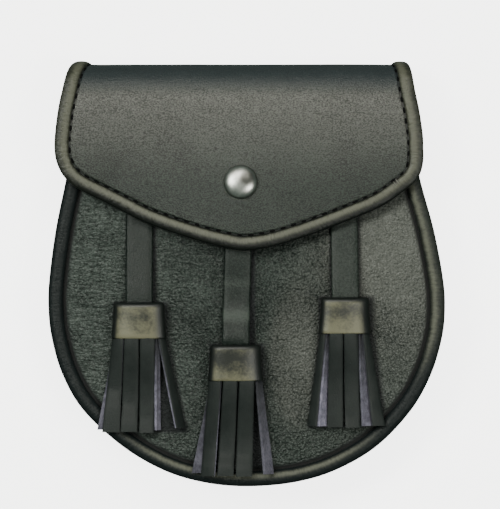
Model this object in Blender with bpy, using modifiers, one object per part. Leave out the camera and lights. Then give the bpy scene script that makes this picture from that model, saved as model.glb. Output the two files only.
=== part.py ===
"""Leather sporran pouch, lying on its back with the flap snapped shut.

Metres. +Z points out of the front, +Y up to the fold of the flap.
The origin is under the middle of the pouch, on the surface that it lies on.
"""
import math
from collections import namedtuple
from functools import lru_cache

import bmesh
import bpy

# Overall sizes
HEIGHT = 0.1905
WIDTH = 0.1770
DEPTH_TOP = 0.0215
DEPTH_BOTTOM = 0.0270
GAP = 0.0003

# Leather thicknesses
BACK_LEATHER = 0.0020
FRONT_LEATHER = 0.0020
GUSSET_LEATHER = 0.0016
FLAP_LEATHER = 0.0018
STRAP_LEATHER = 0.0017
CUFF_LEATHER = 0.0014
STRIP_LEATHER = 0.0014
LOOP_LEATHER = 0.0016

# Rolled edges
FRONT_ROLL_WIDTH = 0.0072
FRONT_ROLL_PROUD = 0.0021
FLAP_ROLL_WIDTH = 0.0063
FLAP_ROLL_PROUD = 0.0016
FLAP_ROLL_UNDER = 0.0008
FRONT_PANEL_INSET = 0.0022
FLAP_SHEET_INSET = 0.0018

# Body: the back shows a little past the front at the lower right
SKEW_X = 0.0009
SKEW_Y = 0.0013
GUSSET_INSET = 0.0030
GUSSET_TUCK = 0.0016
MOUTH_DROP = 0.0020
DOME = 0.0045
DOME_HALF_WIDTH = 0.0800
DOME_HALF_HEIGHT = 0.0780
DOME_Y = -0.0065
DOME_POWER = 1.5

# Flap
FLAP_DROP = 0.0846
FLAP_WIDTH = 0.1633
FLAP_SHIFT = -0.0039
POINT_SIDE = 0.03
FLAP_TAIL = 0.0180
TAIL_SIDE = 0.0030

# Loops on the back, and the hollow pressed into the back over them
LOOP_X = 0.0380
LOOP_Y = 0.0140
LOOP_WIDTH = 0.0240
LOOP_INSIDE = 0.0250
LOOP_FLANGE = 0.0045
LOOP_RISE = 0.0030
TUNNEL = 0.0052
HOLLOW_MARGIN = 0.0030
HOLLOW_RAMP = 0.0170

# Snap
CAP_RADIUS = 0.0075
CAP_HEIGHT = 0.0036
CAP_RIM = 0.0007
POST_RADIUS = 0.0020
SOCKET_RADIUS = 0.0050
SOCKET_THICKNESS = 0.0009
BASE_RADIUS = 0.0050
BASE_THICKNESS = 0.0011
SNAP_X = 0.0008
SNAP_UP = 0.0302

# Tassels: the head is the roll of leather inside the cuff that the strips hang from
STRAP_WIDTH = 0.0120
STRAP_BOW = 0.0030
CUFF_WIDTH = 0.0246
CUFF_THICKNESS = 0.0090
CUFF_LENGTH = 0.0140
OVAL_POWER = 0.75
STRAP_IN_CUFF = 0.0040
HEAD_FIT = 0.87
HEAD_LENGTH = 0.9
HEAD_LEVEL = 0.55
STRIP_WIDTH = 0.0073
STRIP_LENGTH = 0.0415
STRIP_GAP = 0.0004
STRIP_STAGGER = 0.00015
STRIP_FALL = 1.4
STRIP_TURN = 1.6
BORDER_RAMP = 0.0080

# How finely curves are cut
EDGE_STEP = 0.0055
CURVE_STEPS = 16
PANEL_CUTS = 14
FLAP_CUTS = 12
FLAP_ROWS = 7
FOLD_STEPS = 12
ROLL_STEPS = 6
RAMP_STEPS = 3
STRAP_STEP = 0.0053
HEAD_STEPS = 16
ROUND_STEPS = 20
STRIP_SHARES = (0.0, 0.19, 0.34, 0.50, 0.66, 0.80, 0.90, 1.0)

# Points closer than this are one, and a cutter reaches this far past its sheet
WELD = 0.00001
REACH = 0.0040
SHARP = math.radians(40)

Side = namedtuple("Side", "height left right")
Fold = namedtuple("Fold", "turn left right")
Strip = namedtuple("Strip", "start tip level turn bunch length")
Tassel = namedtuple("Tassel", "name strap_x cuff_x strap_top cuff_top size bow free strips")
Ring = namedtuple("Ring", "down size")

# Body outline from the mouth down: heights are shares of the body's height,
# left and right are shares of half its width.
BODY_SIDES = [
    Side(1.000, 0.823, 0.770),
    Side(0.916, 0.861, 0.818),
    Side(0.778, 0.914, 0.878),
    Side(0.655, 0.963, 0.944),
    Side(0.532, 0.995, 0.990),
    Side(0.455, 1.000, 1.000),
    Side(0.379, 0.983, 0.985),
    Side(0.286, 0.929, 0.929),
    Side(0.194, 0.823, 0.826),
    Side(0.102, 0.625, 0.651),
    Side(0.041, 0.418, 0.443),
    Side(0.010, 0.215, 0.236),
]

# Flap outline from the start of the fold down to the point: heights are shares
# of the flat front of the flap, left and right are shares of half its width.
FLAP_SIDES = [
    Side(1.000, 0.959, 0.956),
    Side(0.876, 0.981, 0.978),
    Side(0.725, 0.997, 0.997),
    Side(0.637, 1.000, 1.000),
    Side(0.561, 0.991, 1.000),
    Side(0.486, 0.964, 0.986),
    Side(0.423, 0.920, 0.952),
    Side(0.372, 0.855, 0.898),
    Side(0.271, 0.679, 0.770),
    Side(0.164, 0.490, 0.548),
    Side(0.069, 0.250, 0.320),
    Side(0.018, 0.080, 0.160),
]

# The flap narrows as it turns over the fold towards the back.
FLAP_FOLDS = [
    Fold(1.00, 0.850, 0.885),
    Fold(0.75, 0.868, 0.898),
    Fold(0.50, 0.896, 0.917),
    Fold(0.25, 0.932, 0.938),
]

# Strips of each tassel: start and tip are offsets in strip widths, level 1 lies
# over level 0, turn is in degrees, bunch is the share of its width that a strip
# keeps inside the cuff, and length is a share of the strip length.
LEFT_STRIPS = [
    Strip(-0.80, -2.20, 0, 8, 0.70, 0.99),
    Strip(0.00, -0.37, 0, 0, 0.70, 0.96),
    Strip(0.80, 1.73, 0, -8, 0.70, 0.98),
    Strip(-0.80, -1.65, 1, 6, 0.70, 1.00),
    Strip(0.00, -0.56, 1, 0, 0.70, 1.02),
    Strip(0.80, 0.49, 1, -6, 0.70, 1.00),
]
MIDDLE_STRIPS = [
    Strip(-0.84, -2.30, 0, 50, 0.48, 0.98),
    Strip(-0.28, -1.16, 0, 0, 0.48, 0.97),
    Strip(0.28, 0.35, 0, 0, 0.48, 0.97),
    Strip(0.84, 1.84, 0, -52, 0.48, 0.99),
    Strip(-0.50, -0.70, 1, 4, 0.86, 1.02),
    Strip(0.50, 0.53, 1, -4, 0.86, 1.02),
]
RIGHT_STRIPS = [
    Strip(-0.84, -1.82, 0, 14, 0.48, 1.00),
    Strip(-0.28, -0.62, 0, 0, 0.48, 0.97),
    Strip(0.28, 0.94, 0, -30, 0.48, 1.00),
    Strip(0.84, 1.95, 0, -8, 0.48, 0.98),
    Strip(-0.50, -0.54, 1, 0, 0.86, 1.01),
    Strip(0.50, 0.49, 1, 0, 0.86, 1.01),
]

# Tassels: x are shares of half the width, tops are shares of half the height,
# free is the length of strap that stands off the front, in strap widths.
TASSELS = [
    Tassel("left", -0.541, -0.543, 0.404, -0.149, 1.00, 0.10, 2.00, LEFT_STRIPS),
    Tassel("middle", -0.046, -0.060, 0.268, -0.345, 1.00, 1.00, 3.62, MIDDLE_STRIPS),
    Tassel("right", 0.481, 0.486, 0.404, -0.126, 0.95, 0.10, 2.00, RIGHT_STRIPS),
]

# The cuff from its rolled top down, in shares of its length and of its half width
CUFF_SIDES = [
    Ring(0.00, 0.84),
    Ring(0.10, 0.89),
    Ring(0.22, 0.88),
    Ring(1.00, 1.00),
]

# Values worked out from the sizes above
LIFT = max(FRONT_ROLL_PROUD, STRAP_LEATHER + GAP) + FLAP_ROLL_UNDER + 2 * GAP
HALF_FLAP = FLAP_LEATHER / 2
BACK_LEVEL = BACK_LEATHER + GAP + HALF_FLAP
SLOPE = math.atan((DEPTH_BOTTOM - DEPTH_TOP) / HEIGHT)
FOLD_RADIUS = (DEPTH_TOP + LIFT + HALF_FLAP - BACK_LEVEL) / (1 + 1 / math.cos(SLOPE))
FOLD_Z = BACK_LEVEL + FOLD_RADIUS
FOLD_Y = HEIGHT / 2 - FLAP_ROLL_PROUD - HALF_FLAP - FOLD_RADIUS
FOLD_ANGLE = math.pi - SLOPE
FOLD_LENGTH = FOLD_RADIUS * FOLD_ANGLE
POINT_Y = HEIGHT / 2 - FLAP_DROP
LINE_TOP_Y = FOLD_Y + FOLD_RADIUS * math.sin(SLOPE)
LINE_TOP_Z = FOLD_Z + FOLD_RADIUS * math.cos(SLOPE)
FRONT_LENGTH = (LINE_TOP_Y - POINT_Y) / math.cos(SLOPE)
BODY_TOP = FOLD_Y - MOUTH_DROP
BODY_BOTTOM = -HEIGHT / 2 + SKEW_Y / 2
HALF_BODY = (WIDTH - SKEW_X) / 2
HOLLOW = LOOP_LEATHER + TUNNEL
HOLLOW_HALF_X = LOOP_X + LOOP_WIDTH / 2 + HOLLOW_MARGIN
HOLLOW_HALF_Y = LOOP_INSIDE / 2 + LOOP_RISE + LOOP_FLANGE + HOLLOW_MARGIN


def remove_everything():
    """Empty the scene before modelling."""
    for item in list(bpy.data.objects):
        bpy.data.objects.remove(item, do_unlink=True)


def add_collection(name):
    """A new collection in the scene."""
    group = bpy.data.collections.new(name)
    bpy.context.scene.collection.children.link(group)
    return group


def add_material(name, colour, roughness, metallic=0.0):
    """A Principled material of one colour."""
    made = bpy.data.materials.new(name)
    made.use_nodes = True
    shader = made.node_tree.nodes["Principled BSDF"]
    shader.inputs["Base Color"].default_value = (*colour, 1.0)
    shader.inputs["Roughness"].default_value = roughness
    shader.inputs["Metallic"].default_value = metallic
    made.diffuse_color = (*colour, 1.0)
    return made


def add_object(name, mesh, group, finish=None):
    """An object at the origin in a collection."""
    made = bpy.data.objects.new(name, mesh)
    group.objects.link(made)
    if finish:
        mesh.materials.clear()
        mesh.materials.append(finish)
    return made


def finish_mesh(name, bm, group, finish, smooth=True):
    """Turn a bmesh into a closed object with its faces out."""
    bmesh.ops.recalc_face_normals(bm, faces=bm.faces[:])
    mesh = bpy.data.meshes.new(name)
    bm.to_mesh(mesh)
    bm.free()
    if smooth:
        mesh.shade_smooth()
        mesh.set_sharp_from_angle(angle=SHARP)
    return add_object(name, mesh, group, finish)


def ease(share):
    """A soft step from 0 to 1."""
    share = min(max(share, 0.0), 1.0)
    return share * share * (3 - 2 * share)


def front_plane(y):
    """Height of the front panel's outer face, without its dome."""
    return DEPTH_TOP + (FOLD_Y - y) * math.tan(SLOPE)


def dome(x, y):
    """How far the filled front stands proud."""
    across = x / DOME_HALF_WIDTH
    along = (y - DOME_Y) / DOME_HALF_HEIGHT
    return DOME * max(0.0, 1 - across * across - along * along) ** DOME_POWER


def front_height(x, y):
    """Height of the front panel's outer face."""
    return front_plane(y) + dome(x, y)


def hollow(x, y):
    """How far the back is pressed in over the loops."""
    across = ease((HOLLOW_HALF_X + HOLLOW_RAMP - abs(x)) / HOLLOW_RAMP)
    along = ease((HOLLOW_HALF_Y + HOLLOW_RAMP - abs(y - LOOP_Y)) / HOLLOW_RAMP)
    return HOLLOW * across * along


def place_back(x, y, height):
    """Bend the back panel over the loops."""
    return (x, y, BACK_LEATHER / 2 + height + hollow(x, y))


def place_front(x, y, height):
    """Bend the front panel to its slope and dome."""
    return (x, y, front_height(x, y) - FRONT_LEATHER / 2 + height)


def flap_section(along):
    """Middle line of the flap, and its outward direction, from the point up."""
    if along <= FRONT_LENGTH:
        below = FRONT_LENGTH - along
        y = LINE_TOP_Y - below * math.cos(SLOPE)
        z = LINE_TOP_Z + below * math.sin(SLOPE)
        return y, z, math.sin(SLOPE), math.cos(SLOPE)
    angle = FOLD_ANGLE - (along - FRONT_LENGTH) / FOLD_RADIUS
    if angle >= 0:
        y = FOLD_Y + FOLD_RADIUS * math.sin(angle)
        z = FOLD_Z - FOLD_RADIUS * math.cos(angle)
        return y, z, math.sin(angle), -math.cos(angle)
    return FOLD_Y + angle * FOLD_RADIUS, BACK_LEVEL, 0.0, -1.0


def place_flap(x, along, height):
    """Bend the flat flap down the front, over the fold and inside the back."""
    y, z, out_y, out_z = flap_section(along)
    if along <= FRONT_LENGTH:
        z += dome(x, y)
    return (x, y + height * out_y, z + height * out_z)


def smooth_path(points, step):
    """Evenly spaced points on a smooth curve through the given ones."""
    ends = [points[0]] + list(points) + [points[-1]]
    dense = []
    for i in range(len(points) - 1):
        a, b, c, d = ends[i], ends[i + 1], ends[i + 2], ends[i + 3]
        for k in range(CURVE_STEPS):
            t = k / CURVE_STEPS
            dense.append(tuple(
                0.5 * (2 * b[n] + (c[n] - a[n]) * t
                       + (2 * a[n] - 5 * b[n] + 4 * c[n] - d[n]) * t * t
                       + (3 * b[n] - a[n] - 3 * c[n] + d[n]) * t ** 3)
                for n in range(2)))
    dense.append(tuple(points[-1]))
    lengths = [0.0]
    for p, q in zip(dense, dense[1:]):
        lengths.append(lengths[-1] + math.dist(p, q))
    count = max(8, round(lengths[-1] / step))
    path = []
    here = 0
    for i in range(count + 1):
        wanted = lengths[-1] * i / count
        while here < len(dense) - 2 and lengths[here + 1] < wanted:
            here += 1
        share = (wanted - lengths[here]) / (lengths[here + 1] - lengths[here])
        p, q = dense[here], dense[here + 1]
        path.append((p[0] + (q[0] - p[0]) * share, p[1] + (q[1] - p[1]) * share))
    return path


def inset(path, amount):
    """The path moved to its inner side, which is on the left of its run."""
    moved = []
    for i, (x, y) in enumerate(path):
        before = path[max(i - 1, 0)]
        after = path[min(i + 1, len(path) - 1)]
        run_x, run_y = after[0] - before[0], after[1] - before[1]
        length = math.hypot(run_x, run_y)
        moved.append((x - amount * run_y / length, y + amount * run_x / length))
    return moved


def shifted(path, x, y):
    """The path moved as a whole."""
    return [(px + x, py + y) for px, py in path]


@lru_cache
def body_path(step=EDGE_STEP):
    """Outer edge of the pouch from the mouth's left end to its right end."""
    height = BODY_TOP - BODY_BOTTOM
    left = [(-HALF_BODY * row.left, BODY_BOTTOM + height * row.height) for row in BODY_SIDES]
    right = [(HALF_BODY * row.right, BODY_BOTTOM + height * row.height) for row in BODY_SIDES]
    return smooth_path(left + [(0.0, BODY_BOTTOM)] + right[::-1], step)


def flap_path():
    """Outer edge of the flat flap from the back's left end to its right end."""
    half = FLAP_WIDTH / 2
    rows = [(FRONT_LENGTH + FOLD_LENGTH * row.turn, row.left, row.right) for row in FLAP_FOLDS]
    rows += [(FRONT_LENGTH * row.height, row.left, row.right) for row in FLAP_SIDES]
    left = [(FLAP_SHIFT - half * row[1], row[0]) for row in rows]
    right = [(FLAP_SHIFT + half * row[2], row[0]) for row in rows]
    points = left + [(FLAP_SHIFT + half * POINT_SIDE, 0.0)] + right[::-1]
    path = smooth_path(points, EDGE_STEP / 2)
    return [point for number, point in enumerate(path)
            if number % 2 == 0 or point[1] > FRONT_LENGTH]


def prism(name, outline, low, high, group):
    """A flat outline drawn as a filled curve and extruded, as a closed mesh."""
    curve = bpy.data.curves.new(name, "CURVE")
    curve.dimensions = "2D"
    curve.fill_mode = "BOTH"
    curve.extrude = (high - low) / 2
    line = curve.splines.new("POLY")
    line.points.add(len(outline) - 1)
    for point, (x, y) in zip(line.points, outline):
        point.co = (x, y, 0.0, 1.0)
    line.use_cyclic_u = True
    drawn = add_object(name + "_curve", curve, group)
    bpy.context.view_layer.update()
    evaluated = drawn.evaluated_get(bpy.context.evaluated_depsgraph_get())
    mesh = bpy.data.meshes.new_from_object(evaluated)
    bpy.data.objects.remove(drawn, do_unlink=True)
    bm = bmesh.new()
    bm.from_mesh(mesh)
    bmesh.ops.remove_doubles(bm, verts=bm.verts[:], dist=WELD)
    for vert in bm.verts:
        vert.co.z += (low + high) / 2
    bmesh.ops.recalc_face_normals(bm, faces=bm.faces[:])
    bm.to_mesh(mesh)
    bm.free()
    made = add_object(name, mesh, group)
    made.hide_render = True
    made.display_type = "WIRE"
    return made


def boolean(target, cutter, operation):
    """An exact Boolean modifier."""
    cut = target.modifiers.new(operation.lower(), "BOOLEAN")
    cut.operation = operation
    cut.solver = "EXACT"
    cut.object = cutter


def evaluated_bmesh(item):
    """The object's mesh with its modifiers applied."""
    bpy.context.view_layer.update()
    depsgraph = bpy.context.evaluated_depsgraph_get()
    mesh = bpy.data.meshes.new_from_object(item.evaluated_get(depsgraph))
    bm = bmesh.new()
    bm.from_mesh(mesh)
    bpy.data.meshes.remove(mesh)
    return bm


def cut_sheet(name, columns, rows, thickness, outline, place, parts, cutters, finish):
    """Leather cut to an outline while flat, then bent into place."""
    bm = bmesh.new()
    across, along = len(columns) - 1, len(rows) - 1
    bmesh.ops.create_grid(bm, x_segments=across, y_segments=along, size=0.5)
    for vert in bm.verts:
        column = round((vert.co.x + 0.5) * across)
        row = round((vert.co.y + 0.5) * along)
        vert.co = (columns[column], rows[row], 0.0)
    sheet = finish_mesh(name + "_blank", bm, cutters, None, smooth=False)
    wall = sheet.modifiers.new("thickness", "SOLIDIFY")
    wall.thickness = thickness
    wall.offset = 0.0
    cutter = prism(name + "_outline", outline, -2 * thickness, 2 * thickness, cutters)
    boolean(sheet, cutter, "INTERSECT")
    bm = evaluated_bmesh(sheet)
    bpy.data.objects.remove(sheet, do_unlink=True)
    bmesh.ops.triangulate(bm, faces=bm.faces[:])
    for vert in bm.verts:
        vert.co = place(vert.co.x, vert.co.y, vert.co.z)
    return finish_mesh(name, bm, parts, finish)


def spread(low, high, step):
    """Evenly spaced values no further apart than step."""
    count = max(1, math.ceil((high - low) / step - 1e-6))
    return [low + (high - low) * i / count for i in range(count + 1)]


def loft(name, rings, parts, finish, closed=False):
    """Skin a row of like rings, with flat ends unless the row is closed."""
    bm = bmesh.new()
    rows = [[bm.verts.new(point) for point in ring] for ring in rings]
    pairs = list(zip(rows, rows[1:]))
    if closed:
        pairs.append((rows[-1], rows[0]))
    for a, b in pairs:
        for i in range(len(a)):
            j = (i + 1) % len(a)
            bm.faces.new((a[i], a[j], b[j], b[i]))
    if not closed:
        bm.faces.new(rows[0])
        bm.faces.new(rows[-1])
        ends = [face for face in bm.faces if len(face.verts) > 4]
        bmesh.ops.triangulate(bm, faces=ends)
    return finish_mesh(name, bm, parts, finish)


def build_back_panel(parts, cutters, finish):
    """Flat back, pressed in over the loops."""
    edge = shifted(body_path(), SKEW_X / 2, -SKEW_Y / 2)
    side = HOLLOW_HALF_X
    half = WIDTH / 2 + 2 * GAP
    ramp_x = spread(side, side + HOLLOW_RAMP, HOLLOW_RAMP / RAMP_STEPS)
    columns = [-half] + [-x for x in ramp_x[::-1]] + [0.0] + ramp_x + [half]
    low = LOOP_Y - HOLLOW_HALF_Y
    high = LOOP_Y + HOLLOW_HALF_Y
    rows = [-HEIGHT / 2 - 2 * GAP, -HEIGHT / 3]
    rows += spread(low - HOLLOW_RAMP, low, HOLLOW_RAMP / RAMP_STEPS)
    rows += spread(high, high + HOLLOW_RAMP, HOLLOW_RAMP / RAMP_STEPS)
    rows += [HEIGHT / 2]
    return cut_sheet("back_panel", columns, rows, BACK_LEATHER, edge, place_back,
                     parts, cutters, finish)


def build_front_panel(parts, cutters, finish):
    """Domed front, with its edge inside the rolled border."""
    edge = shifted(body_path(), -SKEW_X / 2, SKEW_Y / 2)
    outline = inset(edge, FRONT_PANEL_INSET)
    columns = spread(-WIDTH / 2, WIDTH / 2, WIDTH / PANEL_CUTS)
    rows = spread(-HEIGHT / 2, BODY_TOP + 2 * GAP, HEIGHT / PANEL_CUTS)
    return cut_sheet("front_panel", columns, rows, FRONT_LEATHER, outline, place_front,
                     parts, cutters, finish)


def build_front_binding(parts, finish):
    """Rolled border round the sides and bottom of the front."""
    edge = shifted(body_path(), -SKEW_X / 2, SKEW_Y / 2)
    half = FRONT_ROLL_WIDTH / 2
    section = []
    for i in range(ROLL_STEPS + 1):
        angle = math.pi * i / ROLL_STEPS
        rise = GAP + (FRONT_ROLL_PROUD - GAP) * math.sin(angle)
        section.append((half * (1 + math.cos(angle)), rise))
    inner = FRONT_PANEL_INSET - GAP
    section += [(0.0, -FRONT_LEATHER / 2), (inner / 4, -FRONT_LEATHER)]
    section += [(inner, -FRONT_LEATHER), (inner, GAP)]
    lines = [[(x, y, front_plane(y) + rise) for x, y in inset(edge, depth)]
             for depth, rise in section]
    return loft("front_binding", list(zip(*lines)), parts, finish)


def build_gusset(parts, finish):
    """Side wall between back and front, tucked in a little halfway."""
    path = body_path()
    shares = [0.0, 0.5, 1.0]
    walls = []
    for depth in (GUSSET_INSET, GUSSET_INSET + GUSSET_LEATHER):
        wall = []
        for share in shares:
            tuck = GUSSET_TUCK * math.sin(math.pi * share)
            line = inset(path, depth + tuck)
            line = shifted(line, SKEW_X * (0.5 - share), -SKEW_Y * (0.5 - share))
            low = BACK_LEATHER + GAP
            points = []
            for x, y in line:
                high = front_plane(y) - FRONT_LEATHER - GAP
                points.append((x, y, low + (high - low) * share))
            wall.append(points)
        walls.append(wall)
    lines = walls[0] + walls[1][::-1]
    return loft("gusset", list(zip(*lines)), parts, finish)


def build_flap(parts, cutters, finish):
    """Flap leather: the front, the fold and the tail inside the back."""
    path = flap_path()
    outline = inset(path, FLAP_SHEET_INSET)
    shoulder = FRONT_LENGTH + FOLD_LENGTH + MOUTH_DROP - 2 * GAP
    tail_end = FRONT_LENGTH + FOLD_LENGTH + FLAP_TAIL
    inside = GUSSET_INSET + GUSSET_LEATHER + GUSSET_TUCK + TAIL_SIDE
    left = -HALF_BODY * BODY_SIDES[0].left + inside
    right = HALF_BODY * BODY_SIDES[0].right - inside
    outline = [(outline[0][0], shoulder)] + outline + [(outline[-1][0], shoulder)]
    outline += [(right, shoulder), (right, tail_end), (left, tail_end), (left, shoulder)]
    half = FLAP_WIDTH / 2
    columns = spread(FLAP_SHIFT - half, FLAP_SHIFT + half, FLAP_WIDTH / FLAP_CUTS)
    rows = spread(-2 * GAP, FRONT_LENGTH, FRONT_LENGTH / FLAP_ROWS)
    rows += spread(FRONT_LENGTH, FRONT_LENGTH + FOLD_LENGTH, FOLD_LENGTH / FOLD_STEPS)[1:]
    rows += [tail_end + 2 * GAP]
    flap = cut_sheet("flap", columns, rows, FLAP_LEATHER, outline, place_flap,
                     parts, cutters, finish)
    radius = POST_RADIUS + GAP
    profile = [(0.0, REACH), (radius, REACH), (radius, -REACH), (0.0, -REACH)]
    hole = turned("snap_hole", profile, Frame(FLAP_SHIFT + SNAP_X, SNAP_UP), cutters)
    hole.hide_render = True
    hole.display_type = "WIRE"
    boolean(flap, hole, "DIFFERENCE")
    return flap


def build_flap_binding(parts, finish):
    """Rolled edge wrapped round the flap's edge, over the fold to the back."""
    path = flap_path()
    half = FLAP_ROLL_WIDTH / 2
    slot = HALF_FLAP + GAP
    section = []
    for i in range(ROLL_STEPS):
        angle = math.pi * i / (ROLL_STEPS - 1)
        rise = FLAP_ROLL_PROUD + HALF_FLAP - slot
        section.append((half * (1 + math.cos(angle)), slot + rise * math.sin(angle)))
    for i in range(ROLL_STEPS):
        angle = math.pi * i / (ROLL_STEPS - 1)
        sink = FLAP_ROLL_UNDER + HALF_FLAP - slot
        section.append((half * (1 - math.cos(angle)), -slot - sink * math.sin(angle)))
    section += [(FLAP_SHEET_INSET - GAP, -slot), (FLAP_SHEET_INSET - GAP, slot)]
    lines = [[place_flap(x, along, rise) for x, along in inset(path, depth)]
             for depth, rise in section]
    return loft("flap_binding", list(zip(*lines)), parts, finish)


class Frame:
    """A place on the flap's outer face, with its outward direction."""

    def __init__(self, x, along):
        origin = place_flap(x, along, HALF_FLAP)
        right = place_flap(x + REACH, along, HALF_FLAP)
        up = place_flap(x, along + REACH, HALF_FLAP)
        u = [b - a for a, b in zip(origin, right)]
        v = [b - a for a, b in zip(origin, up)]
        out = [u[1] * v[2] - u[2] * v[1], u[2] * v[0] - u[0] * v[2], u[0] * v[1] - u[1] * v[0]]
        size = math.hypot(*out)
        self.origin = origin
        self.out = [value / size for value in out]

    def tilt(self):
        """Turns about X and Y that point +Z outwards."""
        x, y, z = self.out
        return (math.atan2(-y, z), math.asin(x), 0.0)


def turned(name, profile, frame, group, finish=None):
    """A profile turned about the outward direction at a place on the flap."""
    bm = bmesh.new()
    verts = [bm.verts.new((x, 0.0, z)) for x, z in profile]
    for a, b in zip(verts, verts[1:]):
        bm.edges.new((a, b))
    mesh = bpy.data.meshes.new(name)
    bm.to_mesh(mesh)
    bm.free()
    made = add_object(name, mesh, group, finish)
    made.location = frame.origin
    made.rotation_euler = frame.tilt()
    screw = made.modifiers.new("turn", "SCREW")
    screw.steps = ROUND_STEPS
    screw.render_steps = ROUND_STEPS
    screw.use_merge_vertices = True
    screw.merge_threshold = WELD
    return made


def build_snap(parts, metal, base_finish):
    """Domed cap with its post and socket, and the plain base under it."""
    frame = Frame(FLAP_SHIFT + SNAP_X, SNAP_UP)
    under = -FLAP_LEATHER - GAP
    profile = []
    for i in range(ROLL_STEPS + 1):
        angle = math.pi / 2 * i / ROLL_STEPS
        rise = CAP_RIM + GAP + (CAP_HEIGHT - CAP_RIM) * math.cos(angle)
        profile.append((CAP_RADIUS * math.sin(angle), rise))
    profile += [(CAP_RADIUS, GAP), (POST_RADIUS, GAP), (POST_RADIUS, under)]
    profile += [(SOCKET_RADIUS, under), (SOCKET_RADIUS, under - SOCKET_THICKNESS)]
    profile += [(0.0, under - SOCKET_THICKNESS)]
    turned("stud_cap", profile, frame, parts, metal)
    low = -FLAP_LEATHER - LIFT + 2 * GAP
    base = [(0.0, low + BASE_THICKNESS), (BASE_RADIUS, low + BASE_THICKNESS)]
    base += [(BASE_RADIUS, low), (0.0, low)]
    turned("snap_base", base, frame, parts, base_finish)


def on_front(x, y, rise):
    """A point at a height over the front panel."""
    return (x, y, front_height(x, y) + rise)


def border_rise(x, y):
    """How far the rolled border lifts what lies across it."""
    away = min(math.dist((x, y), point) for point in body_path(EDGE_STEP / RAMP_STEPS))
    share = (FRONT_ROLL_WIDTH + BORDER_RAMP - away) / BORDER_RAMP
    return (FRONT_ROLL_PROUD + GAP) * ease(share)


def strap_rise(tassel, y):
    """Height of a strap's underside: it bows out, then climbs into its cuff."""
    top = tassel.cuff_top * HEIGHT / 2
    free = STRAP_WIDTH * tassel.free
    share = min(max((top + free - y) / free, 0.0), 1.0)
    middle = CUFF_THICKNESS / 2 + GAP - STRAP_LEATHER / 2
    bow = STRAP_BOW * tassel.bow * math.sin(math.pi * share) * share
    return GAP + (middle - GAP) * ease(share) + bow


def build_strap(tassel, parts, finish):
    """Flat strap from under the flap into the cuff."""
    high = tassel.strap_top * HEIGHT / 2
    cuff = tassel.cuff_top * HEIGHT / 2
    low = cuff - STRAP_IN_CUFF
    sections = []
    for y in spread(low, high, STRAP_STEP)[::-1]:
        share = (high - y) / (high - low)
        start = tassel.strap_x * WIDTH / 2
        end = (tassel.strap_x + tassel.cuff_x) / 2 * WIDTH / 2
        x = start + (end - start) * ease(share)
        rise = strap_rise(tassel, y)
        left = x - STRAP_WIDTH / 2
        right = x + STRAP_WIDTH / 2
        sections.append([on_front(left, y, rise), on_front(x, y, rise),
                         on_front(right, y, rise), on_front(right, y, rise + STRAP_LEATHER),
                         on_front(x, y, rise + STRAP_LEATHER),
                         on_front(left, y, rise + STRAP_LEATHER)])
    loft("tassel_strap_" + tassel.name, sections, parts, finish)


def oval(centre_x, y, rise, half_width, half_height, count=ROUND_STEPS):
    """A flattened ring across a tassel."""
    ring = []
    for i in range(count):
        angle = 2 * math.pi * i / count
        across = math.copysign(abs(math.cos(angle)) ** OVAL_POWER, math.cos(angle))
        up = math.copysign(abs(math.sin(angle)) ** OVAL_POWER, math.sin(angle))
        ring.append(on_front(centre_x + half_width * across, y, rise + half_height * up))
    return ring


def build_cuff(tassel, parts, finish):
    """Sleeve that holds the strips: a flattened tube with a rolled top."""
    x = tassel.cuff_x * WIDTH / 2
    top = tassel.cuff_top * HEIGHT / 2
    middle = CUFF_THICKNESS / 2 + GAP
    half_width = CUFF_WIDTH / 2 * tassel.size
    half_height = CUFF_THICKNESS / 2
    rings = [oval(x, top - CUFF_LENGTH * ring.down, middle, half_width * ring.size, half_height)
             for ring in CUFF_SIDES]
    rings += [oval(x, top - CUFF_LENGTH * ring.down, middle,
                   half_width * ring.size - CUFF_LEATHER, half_height - CUFF_LEATHER)
              for ring in (CUFF_SIDES[-1], CUFF_SIDES[0])]
    loft("tassel_cuff_" + tassel.name, rings, parts, finish, closed=True)


def strip_sections(tassel, strip, order):
    """Sections of one strip from inside the head down to its tip."""
    x = tassel.cuff_x * WIDTH / 2
    top = tassel.cuff_top * HEIGHT / 2 - STRAP_IN_CUFF - (4 + order / 2) * GAP
    middle = CUFF_THICKNESS / 2 + GAP
    room = CUFF_THICKNESS / 2 - CUFF_LEATHER - GAP - STRIP_LEATHER / 2
    level = HEAD_LEVEL if strip.level else -HEAD_LEVEL
    head_rise = middle + room * level + STRIP_STAGGER * (order % 3 - 1)
    turn = math.radians(strip.turn)
    reach = STRIP_WIDTH * abs(math.sin(turn)) + STRIP_LEATHER * abs(math.cos(turn))
    tip_rise = STRIP_GAP + reach / 2 + strip.level * (STRIP_LEATHER + STRIP_GAP)
    sleeve = CUFF_LENGTH - STRAP_IN_CUFF
    length = sleeve + STRIP_LENGTH * strip.length
    sections = []
    for share in STRIP_SHARES:
        down = length * share
        free = max(0.0, (down - sleeve) / (length - sleeve))
        offset = strip.start * tassel.size + (strip.tip - strip.start * tassel.size) * free
        rise = head_rise + (tip_rise - head_rise) * ease(free * STRIP_FALL)
        angle = turn * ease(free * STRIP_TURN)
        bunched = strip.bunch * tassel.size
        width = STRIP_WIDTH * (bunched + (1 - bunched) * free)
        middle_x = x + offset * STRIP_WIDTH
        rise += max(border_rise(middle_x + side * width / 2, top - down) for side in (-1, 0, 1))
        corners = []
        for side, face in ((-1, -1), (1, -1), (1, 1), (-1, 1)):
            across = side * width / 2 * math.cos(angle) - face * STRIP_LEATHER / 2 * math.sin(angle)
            up = side * width / 2 * math.sin(angle) + face * STRIP_LEATHER / 2 * math.cos(angle)
            corners.append(on_front(middle_x + across, top - down, rise + up))
        sections.append(corners)
    return sections


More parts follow.
